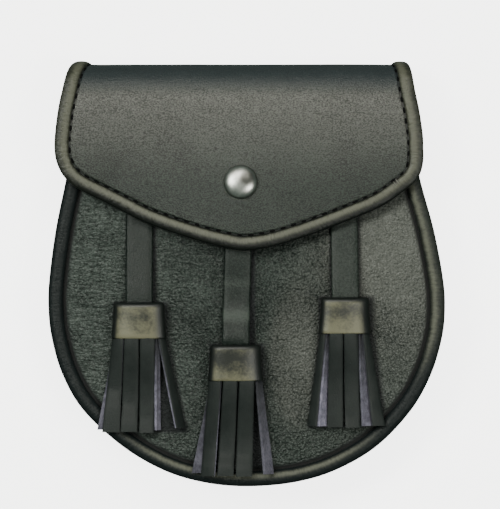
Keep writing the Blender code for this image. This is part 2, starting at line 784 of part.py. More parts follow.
def build_fringe(tassel, parts, cutters, finish):
    """Strips fused to a head that fills the cuff."""
    x = tassel.cuff_x * WIDTH / 2
    top = tassel.cuff_top * HEIGHT / 2 - STRAP_IN_CUFF - GAP
    bottom = tassel.cuff_top * HEIGHT / 2 - CUFF_LENGTH * HEAD_LENGTH
    middle = CUFF_THICKNESS / 2 + GAP
    inside = CUFF_LEATHER + 2 * GAP
    half_width = CUFF_WIDTH / 2 * tassel.size * HEAD_FIT - inside
    half_height = CUFF_THICKNESS / 2 - inside
    rings = [oval(x, y, middle, half_width, half_height, HEAD_STEPS) for y in (top, bottom)]
    head = loft("tassel_fringe_" + tassel.name, rings, parts, finish)
    for number, strip in enumerate(tassel.strips):
        name = "strip_" + tassel.name + "_" + str(number)
        ribbon = loft(name, strip_sections(tassel, strip, number), cutters, None)
        ribbon.hide_render = True
        ribbon.display_type = "WIRE"
        boolean(head, ribbon, "UNION")
    return head


def build_loop(name, x, parts, cutters, finish):
    """Plain loop for the belt strap, sewn flat to the back at both ends."""
    foot = HOLLOW - GAP - LOOP_LEATHER
    inside = LOOP_INSIDE / 2
    bend = inside + LOOP_RISE
    end = bend + LOOP_FLANGE
    lean = LOOP_LEATHER / 2
    right = [(inside + lean, 0.0), (bend + lean, foot), (end, foot)]
    inner = [(end, foot + LOOP_LEATHER), (bend - lean, foot + LOOP_LEATHER),
             (inside - lean, LOOP_LEATHER)]
    half = right + inner
    outline = half + [(-y, z) for y, z in half[::-1]]
    strip = prism(name + "_outline", outline, -LOOP_WIDTH / 2, LOOP_WIDTH / 2, cutters)
    bm = bmesh.new()
    bm.from_mesh(strip.data)
    bpy.data.objects.remove(strip, do_unlink=True)
    for vert in bm.verts:
        across, up, along = vert.co
        vert.co = (x + along, LOOP_Y + across, up)
    return finish_mesh(name, bm, parts, finish, smooth=False)


def build():
    """Model the whole pouch."""
    remove_everything()
    parts = add_collection("sporran_pouch")
    cutters = add_collection("cutters")
    panel = add_material("panel_leather", (0.045, 0.050, 0.047), 0.55)
    flap = add_material("flap_leather", (0.060, 0.063, 0.058), 0.50)
    binding = add_material("binding_leather", (0.050, 0.052, 0.048), 0.45)
    strap = add_material("strap_leather", (0.035, 0.040, 0.037), 0.55)
    cuff = add_material("cuff_leather", (0.110, 0.105, 0.085), 0.45)
    strips = add_material("fringe_leather", (0.030, 0.035, 0.033), 0.60)
    metal = add_material("snap_metal", (0.45, 0.45, 0.46), 0.30, 1.0)
    build_back_panel(parts, cutters, panel)
    build_gusset(parts, panel.copy())
    build_front_panel(parts, cutters, panel.copy())
    build_front_binding(parts, binding)
    build_flap(parts, cutters, flap)
    build_flap_binding(parts, binding.copy())
    build_snap(parts, metal, metal.copy())
    for tassel in TASSELS:
        build_strap(tassel, parts, strap.copy())
        build_cuff(tassel, parts, cuff.copy())
        build_fringe(tassel, parts, cutters, strips.copy())
    build_loop("strap_loop_left", -LOOP_X, parts, cutters, strap.copy())
    build_loop("strap_loop_right", LOOP_X, parts, cutters, strap.copy())


build()
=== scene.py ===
"""The finished looks of the leather sporran pouch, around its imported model."""
import math
from collections import namedtuple
from functools import lru_cache

import bmesh
import bpy
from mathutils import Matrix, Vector, kdtree, noise


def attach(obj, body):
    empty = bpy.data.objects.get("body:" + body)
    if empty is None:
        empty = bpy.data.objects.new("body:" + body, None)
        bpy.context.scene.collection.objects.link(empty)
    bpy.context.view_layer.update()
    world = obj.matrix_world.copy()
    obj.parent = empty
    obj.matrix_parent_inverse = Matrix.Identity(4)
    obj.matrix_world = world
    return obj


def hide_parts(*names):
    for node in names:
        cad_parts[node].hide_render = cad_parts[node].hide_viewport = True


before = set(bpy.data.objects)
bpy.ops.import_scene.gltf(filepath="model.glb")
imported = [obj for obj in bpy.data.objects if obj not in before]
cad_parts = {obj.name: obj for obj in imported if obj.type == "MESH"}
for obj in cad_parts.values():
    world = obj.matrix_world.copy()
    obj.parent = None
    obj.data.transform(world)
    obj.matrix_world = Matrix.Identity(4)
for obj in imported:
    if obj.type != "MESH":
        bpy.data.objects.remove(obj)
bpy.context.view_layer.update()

# Sizes of the pouch in metres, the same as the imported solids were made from
HEIGHT = 0.1905
WIDTH = 0.1770
DEPTH_TOP = 0.0215
DEPTH_BOTTOM = 0.0270
GAP = 0.0003
BACK_LEATHER = 0.0020
FRONT_LEATHER = 0.0020
GUSSET_LEATHER = 0.0016
FLAP_LEATHER = 0.0018
STRAP_LEATHER = 0.0017
LOOP_LEATHER = 0.0016
FRONT_ROLL_WIDTH = 0.0072
FRONT_ROLL_PROUD = 0.0021
FLAP_ROLL_WIDTH = 0.0063
FLAP_ROLL_PROUD = 0.0016
FLAP_ROLL_UNDER = 0.0008
FRONT_PANEL_INSET = 0.0022
FLAP_SHEET_INSET = 0.0018
SKEW_X = 0.0009
SKEW_Y = 0.0013
GUSSET_INSET = 0.0030
GUSSET_TUCK = 0.0016
MOUTH_DROP = 0.0020
DOME = 0.0045
DOME_HALF_WIDTH = 0.0800
DOME_HALF_HEIGHT = 0.0780
DOME_Y = -0.0065
DOME_POWER = 1.5
FLAP_DROP = 0.0846
FLAP_WIDTH = 0.1633
FLAP_SHIFT = -0.0039
POINT_SIDE = 0.03
FLAP_TAIL = 0.0180
TAIL_SIDE = 0.0030
LOOP_X = 0.0380
LOOP_Y = 0.0140
LOOP_WIDTH = 0.0240
LOOP_INSIDE = 0.0250
LOOP_FLANGE = 0.0045
LOOP_RISE = 0.0030
TUNNEL = 0.0052
HOLLOW_MARGIN = 0.0030
HOLLOW_RAMP = 0.0170
CAP_RADIUS = 0.0075
CAP_HEIGHT = 0.0036
CAP_RIM = 0.0007
POST_RADIUS = 0.0020
SOCKET_RADIUS = 0.0050
SOCKET_THICKNESS = 0.0009
SNAP_X = 0.0008
SNAP_UP = 0.0302
STRAP_WIDTH = 0.0120
CUFF_WIDTH = 0.0246
CUFF_THICKNESS = 0.0090
CUFF_LENGTH = 0.0140
STRAP_IN_CUFF = 0.0040
STRIP_LENGTH = 0.0415
OVAL_POWER = 0.75
BORDER_RAMP = 0.0080

# Details that only the finished surface has, and sizes that it has finer
STRIP_LEATHER = 0.0013
HALF_CUFF = 0.0116
STRAP_BUMP = 0.0016
STRAP_DIP = 0.0007
BUMP_PLACE = 4.3
DIP_END = 0.45
CLIMB_START = 0.48
STRAP_SOFT = 0.00070
# Where the painted lit front of each cuff begins towards its left and right, and how soft its edges are
FACE_START_LEFT = 0.62
FACE_START_RIGHT = 0.76
FACE_RAMP = 0.20
FACE_TOP = 0.03
MILLIMETRE = 0.001
GATHERED = 0.82
STRIP_FALL = 1.5
CUP_AT_CUFF = 0.0018
CUP_AT_TIP = 0.0007
THIN_EDGE = 0.72
# Where the painted shade on the suede near the cuff ends, and how fast it fades
PAINTED_SHADE_START = 0.25
PAINTED_SHADE_RISE = 1.6
LOOP_SOFT = 0.0004
EDGE_STEP = 0.0011
CAMBER = 0.0019
CAMBER_START = 0.0020
CAMBER_REACH = 0.0280
CAMBER_SOFT = 0.0045
NICK_X = 0.0690
NICK_PITCH = 0.0013
NICK_WIDTH = 0.00032
GROOVE_MIDDLE = 0.0069
GROOVE_WIDTH = 0.0015
GROOVE_DEPTH = 0.0011
# How strongly the border's groove is painted in shade
GROOVE_TONE = 1.4
FLAP_GROOVE_MIDDLE = 0.0067
FLAP_GROOVE_WIDTH = 0.00040
FLAP_GROOVE_DEPTH = 0.0005
STITCH_PITCH = 0.0048
STITCH_LENGTH = 0.0026
STITCH_RADIUS = 0.00058
STITCH_SUNK = 0.00015
STITCH_STOP = 0.0020
FLAP_TOP_CLEAR = 0.0002
BACK_STITCH_INSET = 0.0042
TAIL_STITCH_DROPS = (0.0040, 0.0130)
TAIL_STITCH_SIDE = 0.0060
LOOP_STITCH_PITCH = 0.0036
LOOP_STITCH_RADIUS = 0.00036
LOOP_STITCH_SIDE = 0.0030
LOOP_STITCH_OUT = 0.0001
ROLL_POWER = 0.85
ROLL_CLEAR = 0.0001
ROLL_SUNK = 0.7
WRINKLE = 0.00005
CORNER_WRINKLE = 0.00012
WRINKLE_SIZE = 0.0022
TIGHT_BEND = 0.030
# Where round a roll, from its inner side, its crest wear and painted highlight peak
RUB_AND_HIGHLIGHT_ANGLE = math.radians(68)

# Lines of each sheet's mesh: depths inside its outline, rows and columns
BACK_DEPTHS = (0.0, 0.0012, 0.0030, BACK_STITCH_INSET, 0.0055)
FRONT_DEPTHS = (FRONT_PANEL_INSET, 0.0045, 0.0056, 0.0062, 0.0067, 0.0072, 0.0077, 0.0082, 0.0087,
                0.0093, 0.0100, 0.0110, 0.0124)
FLAP_DEPTHS = (FLAP_SHEET_INSET, 0.0040, 0.0054, 0.0059, 0.0062, 0.0065, 0.0068, 0.0071, 0.0074,
               0.0078, 0.0083, 0.0090, 0.0100)
BACK_ROWS = 170
FRONT_ROWS = 240
FLAP_ROWS = 210
COLUMNS = 110
ROW_POWER = 0.96
CURVE_STEPS = 32
GUSSET_STEPS = 14
BORDER_STEPS = 20
FLAP_ROLL_STEPS = 16
STITCH_STEP = 0.0020
TAIL_STEP = 0.0040
STRAP_STEP = 0.0010
STRIP_STEP = 0.0013
LOOP_STEP = 0.0007
CUFF_POINTS = 72
CAP_POINTS = 64
CAP_STEPS = 18

Side = namedtuple("Side", "height left right")
Fold = namedtuple("Fold", "turn left right")
Tassel = namedtuple("Tassel", "name strap_x cuff_x strap_top cuff_top size bow free strips")
Strip = namedtuple("Strip", "left left_up right right_up tip_left tip_left_up tip_right tip_right_up"
                            " length pale")
Sleeve = namedtuple("Sleeve", "down size height")
Swell = namedtuple("Swell", "height size seed")

# Gentle unevenness of the pieces: how high, how wide, and which of its kind
FLAP_SWELLS = (Swell(0.00042, 0.034, 3.1), Swell(0.00014, 0.012, 7.7))
FRONT_SWELLS = (Swell(0.00030, 0.026, 1.3), Swell(0.00012, 0.008, 5.9))
BORDER_SWELLS = (Swell(0.00016, 0.009, 2.2), Swell(0.00007, 0.0025, 8.1))
FRONT_SWELL_RAMP = 0.010
FLAP_ROLL_SWELL = Swell(0.00012, 0.008, 4.4)
GUSSET_SWELL = Swell(0.00055, 0.016, 9.4)
STRAP_SWELL = Swell(0.00025, 0.020, 3.3)
STRIP_SWELL = Swell(0.00012, 0.014, 2.5)
CUFF_DENT = 0.00012
CUFF_DENT_SIZE = 0.0070

# Body outline from the mouth down, in shares of the body's height and half width
BODY_SIDES = [
    Side(1.000, 0.823, 0.770),
    Side(0.916, 0.861, 0.818),
    Side(0.778, 0.914, 0.878),
    Side(0.655, 0.963, 0.944),
    Side(0.532, 0.995, 0.990),
    Side(0.455, 1.000, 1.000),
    Side(0.379, 0.983, 0.985),
    Side(0.286, 0.929, 0.929),
    Side(0.194, 0.823, 0.826),
    Side(0.102, 0.625, 0.651),
    Side(0.041, 0.418, 0.443),
    Side(0.010, 0.215, 0.236),
]

# Flap outline from the fold down, in shares of the flat front and half width
FLAP_SIDES = [
    Side(1.000, 0.959, 0.956),
    Side(0.876, 0.981, 0.978),
    Side(0.725, 0.997, 0.997),
    Side(0.637, 1.000, 1.000),
    Side(0.561, 0.991, 1.000),
    Side(0.486, 0.964, 0.986),
    Side(0.423, 0.920, 0.952),
    Side(0.372, 0.855, 0.898),
    Side(0.271, 0.679, 0.770),
    Side(0.164, 0.490, 0.548),
    Side(0.069, 0.250, 0.320),
    Side(0.018, 0.080, 0.160),
]

# The flap narrows as it turns over the fold
FLAP_FOLDS = [
    Fold(1.00, 0.850, 0.885),
    Fold(0.75, 0.868, 0.898),
    Fold(0.50, 0.896, 0.917),
    Fold(0.25, 0.932, 0.938),
]

# Strips, in millimetres from the middle of the cuff: where the two edges leave
# the cuff and how high, then where they are at the tip and how high over the
# front. A strip whose left is right of its right shows its suede, and pale is
# how light that suede is painted: painted light where high, painted shade where
# low. The length is a share of the usual one.
LEFT_STRIPS = [
    Strip(-7.0, -3.0, -0.6, -3.3, -8.0, 0.9, -1.0, 0.9, 0.95, 0.10),
    Strip(-0.4, -3.3, 6.2, -3.0, -0.6, 0.9, 6.4, 0.9, 0.96, 0.10),
    Strip(-5.6, -2.2, -10.8, -1.4, -11.6, 0.9, -18.5, 0.9, 0.975, 0.25),
    Strip(-11.6, 0.2, -6.7, 3.0, -16.3, 1.9, -8.6, 2.6, 1.00, 0.10),
    Strip(-6.35, 3.1, 0.05, 3.3, -8.1, 2.8, -0.75, 3.0, 0.995, 0.10),
    Strip(0.50, 3.3, 7.1, 3.1, 0.0, 3.0, 6.5, 2.9, 1.005, 0.10),
    Strip(8.9, 0.4, 7.3, 2.6, 9.0, 0.8, 7.2, 4.0, 0.98, 0.55),
    Strip(8.6, 2.4, 11.3, -0.6, 16.1, 5.2, 20.2, 0.9, 0.955, 0.45),
]
MIDDLE_STRIPS = [
    Strip(-6.0, -3.0, 0.4, -3.3, -8.0, 0.9, -1.0, 0.9, 0.95, 0.10),
    Strip(0.6, -3.3, 7.2, -3.0, -0.4, 0.9, 6.8, 0.9, 0.95, 0.10),
    Strip(-6.4, -2.0, -11.0, -1.2, -13.8, 0.7, -19.5, 1.0, 0.985, 0.18),
    Strip(-11.7, 0.2, -6.3, 2.9, -15.2, 1.9, -9.3, 5.0, 1.015, 0.50),
    Strip(-5.5, 3.1, 0.9, 3.3, -8.1, 2.8, -0.9, 3.0, 1.015, 0.10),
    Strip(1.6, 3.3, 8.3, 3.0, 0.05, 3.0, 7.3, 2.8, 1.02, 0.10),
    Strip(11.3, -0.8, 8.9, 2.4, 16.6, 0.9, 12.4, 5.0, 0.995, 0.28),
]
RIGHT_STRIPS = [
    Strip(-6.8, -3.0, -0.4, -3.3, -7.0, 0.9, 0.0, 0.9, 0.95, 0.10),
    Strip(0.2, -3.3, 6.0, -3.0, 0.4, 0.9, 7.4, 0.9, 0.95, 0.10),
    Strip(-11.1, -0.6, -8.8, 2.0, -16.4, 0.9, -12.2, 4.4, 0.99, 0.10),
    Strip(-7.4, 1.6, -8.7, 2.4, -8.1, 0.9, -11.9, 4.6, 0.99, 0.80),
    Strip(-7.4, 3.0, -1.0, 3.3, -7.8, 2.8, -0.8, 3.0, 1.00, 0.10),
    Strip(-0.6, 3.3, 5.8, 3.0, 0.2, 3.0, 7.0, 2.8, 1.005, 0.10),
    Strip(7.6, 0.8, 6.2, 2.6, 11.6, 1.0, 7.6, 4.2, 0.985, 0.45),
    Strip(7.9, 2.2, 11.0, -0.4, 12.0, 2.6, 17.7, 0.9, 0.985, 0.10),
]
# Places are shares of half the width and height, and free is the length of strap
# that stands off the front, in strap widths.
TASSELS = [
    Tassel("left", -0.541, -0.543, 0.404, -0.149, 1.00, 0.10, 3.30, LEFT_STRIPS),
    Tassel("middle", -0.046, -0.060, 0.268, -0.345, 1.00, 1.00, 3.62, MIDDLE_STRIPS),
    Tassel("right", 0.481, 0.486, 0.404, -0.126, 0.95, 0.10, 3.30, RIGHT_STRIPS),
]

# The cuff from its rolled top down, in shares of its length, half width and height
CUFF_PROFILE = [
    Sleeve(-0.100, 0.800, 0.52), Sleeve(-0.130, 0.825, 0.58), Sleeve(-0.140, 0.855, 0.66),
    Sleeve(-0.120, 0.885, 0.78), Sleeve(-0.085, 0.905, 0.89), Sleeve(-0.045, 0.916, 0.96),
    Sleeve(-0.005, 0.922, 0.995), Sleeve(0.035, 0.922, 1.00), Sleeve(0.100, 0.922, 0.99),
    Sleeve(0.300, 0.930, 0.985), Sleeve(0.450, 0.942, 0.985), Sleeve(0.600, 0.956, 0.985),
    Sleeve(0.750, 0.972, 0.985), Sleeve(0.880, 0.988, 0.99), Sleeve(0.960, 0.998, 0.995),
    Sleeve(0.990, 0.994, 0.98), Sleeve(1.000, 0.978, 0.95),
]
CUFF_INSIDE = [
    Sleeve(0.970, 0.950, 0.86), Sleeve(0.800, 0.880, 0.72), Sleeve(0.500, 0.850, 0.69),
    Sleeve(0.150, 0.800, 0.66), Sleeve(0.050, 0.740, 0.40),
]

# Values worked out from the sizes
LIFT = max(FRONT_ROLL_PROUD, STRAP_LEATHER + GAP) + FLAP_ROLL_UNDER + 2 * GAP
HALF_FLAP = FLAP_LEATHER / 2
BACK_LEVEL = BACK_LEATHER + GAP + HALF_FLAP
SLOPE = math.atan((DEPTH_BOTTOM - DEPTH_TOP) / HEIGHT)
FOLD_RADIUS = (DEPTH_TOP + LIFT + HALF_FLAP - BACK_LEVEL) / (1 + 1 / math.cos(SLOPE))
FOLD_Z = BACK_LEVEL + FOLD_RADIUS
FOLD_Y = HEIGHT / 2 - FLAP_ROLL_PROUD - HALF_FLAP - FOLD_RADIUS
FOLD_ANGLE = math.pi - SLOPE
FOLD_LENGTH = FOLD_RADIUS * FOLD_ANGLE
POINT_Y = HEIGHT / 2 - FLAP_DROP
LINE_TOP_Y = FOLD_Y + FOLD_RADIUS * math.sin(SLOPE)
LINE_TOP_Z = FOLD_Z + FOLD_RADIUS * math.cos(SLOPE)
FRONT_LENGTH = (LINE_TOP_Y - POINT_Y) / math.cos(SLOPE)
BODY_TOP = FOLD_Y - MOUTH_DROP
BODY_BOTTOM = -HEIGHT / 2 + SKEW_Y / 2
HALF_BODY = (WIDTH - SKEW_X) / 2
HOLLOW = LOOP_LEATHER + TUNNEL
HOLLOW_HALF_X = LOOP_X + LOOP_WIDTH / 2 + HOLLOW_MARGIN
HOLLOW_HALF_Y = LOOP_INSIDE / 2 + LOOP_RISE + LOOP_FLANGE + HOLLOW_MARGIN


class Wire:
    """A shader value that takes part in Python expressions."""

    def __init__(self, tree, socket):
        self.tree = tree
        self.socket = socket

    def math(self, operation, *values):
        return self.combined(operation, self, *values)

    def combined(self, operation, *values):
        """A maths node over values in their order."""
        node = self.tree.nodes.new("ShaderNodeMath")
        node.operation = operation
        for place, value in enumerate(values):
            connect(self.tree, value, node.inputs[place])
        return Wire(self.tree, node.outputs[0])

    def __add__(self, value):
        return self.math("ADD", value)

    def __radd__(self, value):
        return self.combined("ADD", value, self)

    def __sub__(self, value):
        return self.math("SUBTRACT", value)

    def __rsub__(self, value):
        return self.combined("SUBTRACT", value, self)

    def __mul__(self, value):
        return self.math("MULTIPLY", value)

    def __rmul__(self, value):
        return self.combined("MULTIPLY", value, self)

    def __truediv__(self, value):
        return self.math("DIVIDE", value)

    def __pow__(self, value):
        return self.math("POWER", value)

    def __abs__(self):
        return self.math("ABSOLUTE")

    def ramp(self, low, high):
        """0 below low, 1 above high, soft between."""
        node = self.tree.nodes.new("ShaderNodeMapRange")
        node.interpolation_type = "SMOOTHSTEP"
        connect(self.tree, self, node.inputs["Value"])
        node.inputs["From Min"].default_value = low
        node.inputs["From Max"].default_value = high
        return Wire(self.tree, node.outputs["Result"])


def connect(tree, value, socket):
    """Set a socket from a wire, a number or a colour."""
    if isinstance(value, Wire):
        tree.links.new(value.socket, socket)
    elif isinstance(value, tuple) and len(value) == 3 and len(socket.default_value) == 4:
        socket.default_value = (*value, 1.0)
    else:
        socket.default_value = value


class Finish:
    """A material whose nodes are made by method calls."""

    def __init__(self, name):
        self.material = bpy.data.materials.new(name)
        self.material.use_nodes = True
        self.tree = self.material.node_tree
        self.shader = self.tree.nodes["Principled BSDF"]

    def node(self, kind, settings=None, output=0, **inputs):
        """A node of a type, its settings, and the values or links of its sockets."""
        made = self.tree.nodes.new(kind)
        for key, value in (settings or {}).items():
            setattr(made, key, value)
        for key, value in inputs.items():
            connect(self.tree, value, made.inputs[key.replace("_", " ")])
        return Wire(self.tree, made.outputs[output])

    def here(self):
        """Object coordinates."""
        return self.node("ShaderNodeTexCoord", output="Object")

    def uv(self, name):
        """The piece's own map."""
        return self.node("ShaderNodeUVMap", {"uv_map": name})

    def scaled(self, vector, scale):
        """Coordinates scaled by axis."""
        made = self.tree.nodes.new("ShaderNodeVectorMath")
        made.operation = "MULTIPLY"
        connect(self.tree, vector, made.inputs[0])
        connect(self.tree, scale, made.inputs[1])
        return Wire(self.tree, made.outputs[0])

    def part(self, vector, axis):
        """One coordinate of a vector."""
        return self.node("ShaderNodeSeparateXYZ", output=axis, Vector=vector)

    def noise(self, vector, scale, detail=4.0, roughness=0.5, distortion=0.0):
        return self.node("ShaderNodeTexNoise", Vector=vector, Scale=scale, Detail=detail,
                         Roughness=roughness, Distortion=distortion)

    def cells(self, vector, scale):
        return self.node("ShaderNodeTexVoronoi", Vector=vector, Scale=scale)

    def mix(self, share, first, second):
        """A colour between two colours."""
        made = self.tree.nodes.new("ShaderNodeMix")
        made.data_type = "RGBA"
        connect(self.tree, share, made.inputs[0])
        connect(self.tree, first, made.inputs[6])
        connect(self.tree, second, made.inputs[7])
        return Wire(self.tree, made.outputs[2])

    def bump(self, height, distance, strength=1.0):
        return self.node("ShaderNodeBump", Height=height, Distance=distance, Strength=strength)

    def attribute(self, name):
        return self.node("ShaderNodeAttribute", {"attribute_name": name}, output="Fac")

    def set(self, **inputs):
        """Values or links of the Principled shader."""
        for key, value in inputs.items():
            connect(self.tree, value, self.shader.inputs[key.replace("_", " ")])


def contact(made, at):
    """Painted shadow on the front beside and under the straps, cuffs and strips that lie on it."""
    x, y = made.part(at, "X"), made.part(at, "Y")
    dark = 0.0
    for tassel in TASSELS:
        middle = tassel.cuff_x * WIDTH / 2
        top = tassel.cuff_top * HEIGHT / 2
        low = top - CUFF_LENGTH
        tip = low - STRIP_LENGTH
        strap = x - tassel.strap_x * WIDTH / 2
        over = (strap + STRAP_WIDTH / 2).ramp(-0.0008, 0.0004)
        over = over * (1 - (strap - STRAP_WIDTH / 2).ramp(0.0003, 0.0026))
        over = over * (y - top).ramp(0.0, 0.001)
        down = (low - y).math("MAXIMUM", 0.0)
        wide = max(strip.tip_right for strip in tassel.strips) / 1000 - HALF_CUFF
        far = -min(strip.tip_left for strip in tassel.strips) / 1000 - HALF_CUFF
        right = x - middle - HALF_CUFF - down * (wide / STRIP_LENGTH)
        left = x - middle + HALF_CUFF + down * (far / STRIP_LENGTH)
        under = left.ramp(-0.0008, 0.0006) * (1 - right.ramp(-0.0004, 0.0034))
        under = under * (y - tip).ramp(-0.0012, 0.0004) * (1 - (y - top).ramp(0.0012, 0.0034))
        dark = over.math("MAXIMUM", under).math("MAXIMUM", dark)
    return dark


def worn_place(made, at, x, y, half_width, half_height):
    """A soft oval spot for painted sheen and painted reflections, 1 in its middle."""
    across = (made.part(at, "X") - x) / half_width
    up = (made.part(at, "Y") - y) / half_height
    return 1 - ((across * across + up * up) ** 0.5).ramp(0.1, 1.0)


def panel_finish():
    """Wrinkled pebble grain of the front, back and sides, smoother to the right, with painted sheen to the
    right and in two spots, and painted shade in the groove and round the tassels.
    """
    made = Finish("panel_leather")
    at = made.here()
    broad = made.noise(at, 20.0, 3.0)
    patches = made.noise(at, 90.0, 3.0, 0.6)
    creased = 1 - made.part(at, "X").ramp(-0.055, 0.005)
    smooth = made.part(at, "X").ramp(0.020, 0.075)
    warped = made.noise(made.scaled(at, (0.42, 1.8, 1.0)), 400.0, 3.0, 0.55, 0.5)
    creases = (1 - abs(warped * 2 - 1) * 3.2).ramp(0.0, 1.0)
    pebbles = made.cells(at, 900.0)
    pores = made.noise(at, 1300.0, 3.0, 0.6)
    height = creases * (creased * -0.45 - 0.35)
    height = height + pebbles * (creased * 1.05 + smooth * 0.25 - 1.60) + pores * 0.7
    groove = made.attribute("groove")
    normal = made.bump((height + patches * 1.4) * (1 - groove), 0.00056)
    # Painted sheen: lighter towards the upper right, and in two soft spots
    painted_right_sheen = made.part(at, "X").ramp(-0.008, 0.068) * (made.part(at, "Y").ramp(-0.055, 0.012) * 0.6 + 0.4)
    painted_lighting = worn_place(made, at, 0.060, 0.008, 0.030, 0.034)
    painted_lighting = painted_lighting + worn_place(made, at, 0.021, -0.038, 0.019, 0.044)
    tone = broad * 0.35 + patches * 0.40 + pores * (0.55 + painted_right_sheen * 0.50) - pebbles * 0.40 + painted_right_sheen * 0.10
    light = made.mix((painted_right_sheen + painted_lighting).ramp(0.0, 0.7), (0.1040, 0.1260, 0.1130), (0.1160, 0.1200, 0.1090))
    tone = (tone + painted_lighting * 0.25 + creased * 0.20 - 0.03).ramp(0.25, 1.05)
    plain = made.mix(tone, (0.0045, 0.0088, 0.0066), light)
    # Painted shade: blue-grey beside and under the tassels, near black in the groove along the border
    painted_shade_colour = made.mix(groove, (0.0035, 0.0040, 0.0065), (0.001, 0.0012, 0.0015))
    dark = (contact(made, at) * 0.85).math("MAXIMUM", groove)
    made.set(Base_Color=made.mix(dark, plain, painted_shade_colour), Roughness=0.36 + patches * 0.14 + dark * 0.4,
             Normal=normal, Specular_IOR_Level=0.50)
    return made.material


def flap_finish():
    """Fine even grain of the flap, with a painted sheen below the fold, painted bluish shade where it turns,
    and painted shade in its groove.
    """
    made = Finish("flap_leather")
    at = made.here()
    broad = made.noise(at, 16.0, 3.0, 0.55)
    cloudy = made.noise(at, 60.0, 4.0, 0.6)
    grain = made.cells(at, 1500.0)
    pores = made.noise(at, 1600.0, 4.0, 0.65)
    drawn = made.noise(made.scaled(at, (1.0, 2.2, 1.0)), 130.0, 3.0, 0.5)
    height = grain * -0.4 + pores * 0.6 + cloudy * 0.5 + drawn * 0.4
    normal = made.bump(height, 0.00030)
    speckle = made.noise(made.scaled(at, (1.0, 1.4, 1.0)), 1350.0, 3.0, 0.6)
    tone = (speckle * 3.0 + broad * 0.45 + cloudy * 0.3 + drawn * 0.3 - 1.52).ramp(0.02, 0.98)
    dark = made.mix(tone, (0.0000, 0.0012, 0.0004), (0.0280, 0.0380, 0.0300))
    # Painted sheen below the fold, and painted bluish shade where the flap turns
    pale = made.mix(tone, (0.0285, 0.0285, 0.0255), (0.1270, 0.1255, 0.1160))
    height_up = made.part(at, "Y")
    painted_highlight = height_up.ramp(0.034, 0.083) * (1 - height_up.ramp(0.0785, 0.0875))
    painted_fold_shade = made.mix(tone, (0.022, 0.028, 0.031), (0.034, 0.041, 0.044))
    plain = made.mix(height_up.ramp(0.0780, 0.0890), made.mix(painted_highlight, dark, pale), painted_fold_shade)
    # The stitched groove is painted in shade
    made.set(Base_Color=made.mix(made.attribute("groove") * 0.7, plain, (0.002, 0.002, 0.003)),
             Roughness=0.27 + cloudy * 0.10, Normal=normal, Specular_IOR_Level=0.29)
    return made.material


def upper_wear(made, at):
    """Wear and painted highlight of the flap's roll at its crest, less up its sides, and a painted sheen all
    over its upper sides.
    """
    side = made.part(at, "Y").ramp(0.025, 0.060)
    return 1.00 - side * 0.40, side * 0.36


def lower_wear(made, at):
    """Wear and painted highlight of the front's border at its crest, most along the bottom and at the right,
    and a painted sheen all over at the right.
    """
    x, y = made.part(at, "X"), made.part(at, "Y")
    right = x.ramp(0.050, 0.075) * y.ramp(-0.055, -0.020)
    bottom = 1 - y.ramp(-0.0850, -0.0640)
    return 0.05 + right * 0.55 + bottom * 0.80, right * 0.26


def binding_finish(name, base, painted_highlight, rough, shine, sharp, wear_and_highlight):
    """Rolled edge: stretched smooth, wrinkled across, worn at the crest and painted there with a highlight.
    """
    made = Finish(name)
    at = made.here()
    path = made.uv("path")
    across = made.noise(made.scaled(path, (900.0, 260.0, 1.0)), 1.0, 3.0, 0.6)
    blotches = made.noise(made.scaled(path, (130.0, 200.0, 1.0)), 1.0, 3.0, 0.5)
    pores = made.noise(at, 1700.0, 3.0, 0.6)
    crest = made.attribute("crest")
    run = made.attribute("run")
    lines = [(1 - abs(run - side * NICK_PITCH / 2) / NICK_WIDTH).ramp(0.0, 1.0) for side in (-1, 1)]
    beside = (1 - abs(run) / (NICK_PITCH * 1.6)).ramp(0.0, 1.0)
    inner = made.attribute("inner")
    nick = (lines[0] + lines[1]) * inner
    height = across * 1.5 + blotches * 0.5 + pores * 0.4 - nick * 1.5
    normal = made.bump(height, 0.0003)
    # Crest wear and painted highlight, weighted by place
    peak, overall = wear_and_highlight(made, at)
    painted_lighting = (crest ** sharp) * peak + overall
    tone = painted_lighting + (blotches * 0.6 + across * 1.4 + pores * 0.3 - 1.18) * (painted_lighting * 0.8 + 0.1)
    plain = made.mix(tone.ramp(0.0, 1.0), base, painted_highlight)
    marked = made.mix(beside * inner * 0.7, plain, (0.004, 0.004, 0.004))
    made.set(Base_Color=made.mix(nick, marked, (0.30, 0.29, 0.26)),
             Roughness=rough + across * 0.16, Normal=normal, Specular_IOR_Level=shine)
    return made.material


def strap_finish():
    """Smooth dark leather of the straps and loops, with painted highlights where the middle strap bends and
    painted light growing to the right.
    """
    made = Finish("strap_leather")
    at = made.here()
    cloudy = made.noise(at, 90.0, 4.0, 0.6)
    grain = made.cells(at, 1500.0)
    pores = made.noise(at, 1050.0, 3.0, 0.65)
    normal = made.bump(grain * -0.35 + cloudy * 0.6 + pores * 0.5, 0.0003, 0.9)
    x, y = made.part(at, "X"), made.part(at, "Y")
    # Painted highlights across the middle strap, and painted light growing to the right
    low_bend = 1 - abs(y + 0.0180) / 0.0052
    high_bend = (1 - abs(y + 0.0040) / 0.0045) * (1 - abs(x + 0.0050) / 0.0100).ramp(0.0, 0.1) * 0.5
    painted_lighting = low_bend.math("MAXIMUM", high_bend).ramp(0.0, 1.0) * 0.9 + x.ramp(-0.060, 0.060) * 0.5
    tone = (cloudy * 0.9 + pores * 3.0 - 1.45).ramp(0.0, 1.0) * 0.50 + painted_lighting
    made.set(Base_Color=made.mix(tone.ramp(0.10, 1.6), (0.0022, 0.0064, 0.0046), (0.0430, 0.0535, 0.0460)),
             Roughness=0.36 + cloudy * 0.12, Normal=normal, Specular_IOR_Level=0.26)
    return made.material


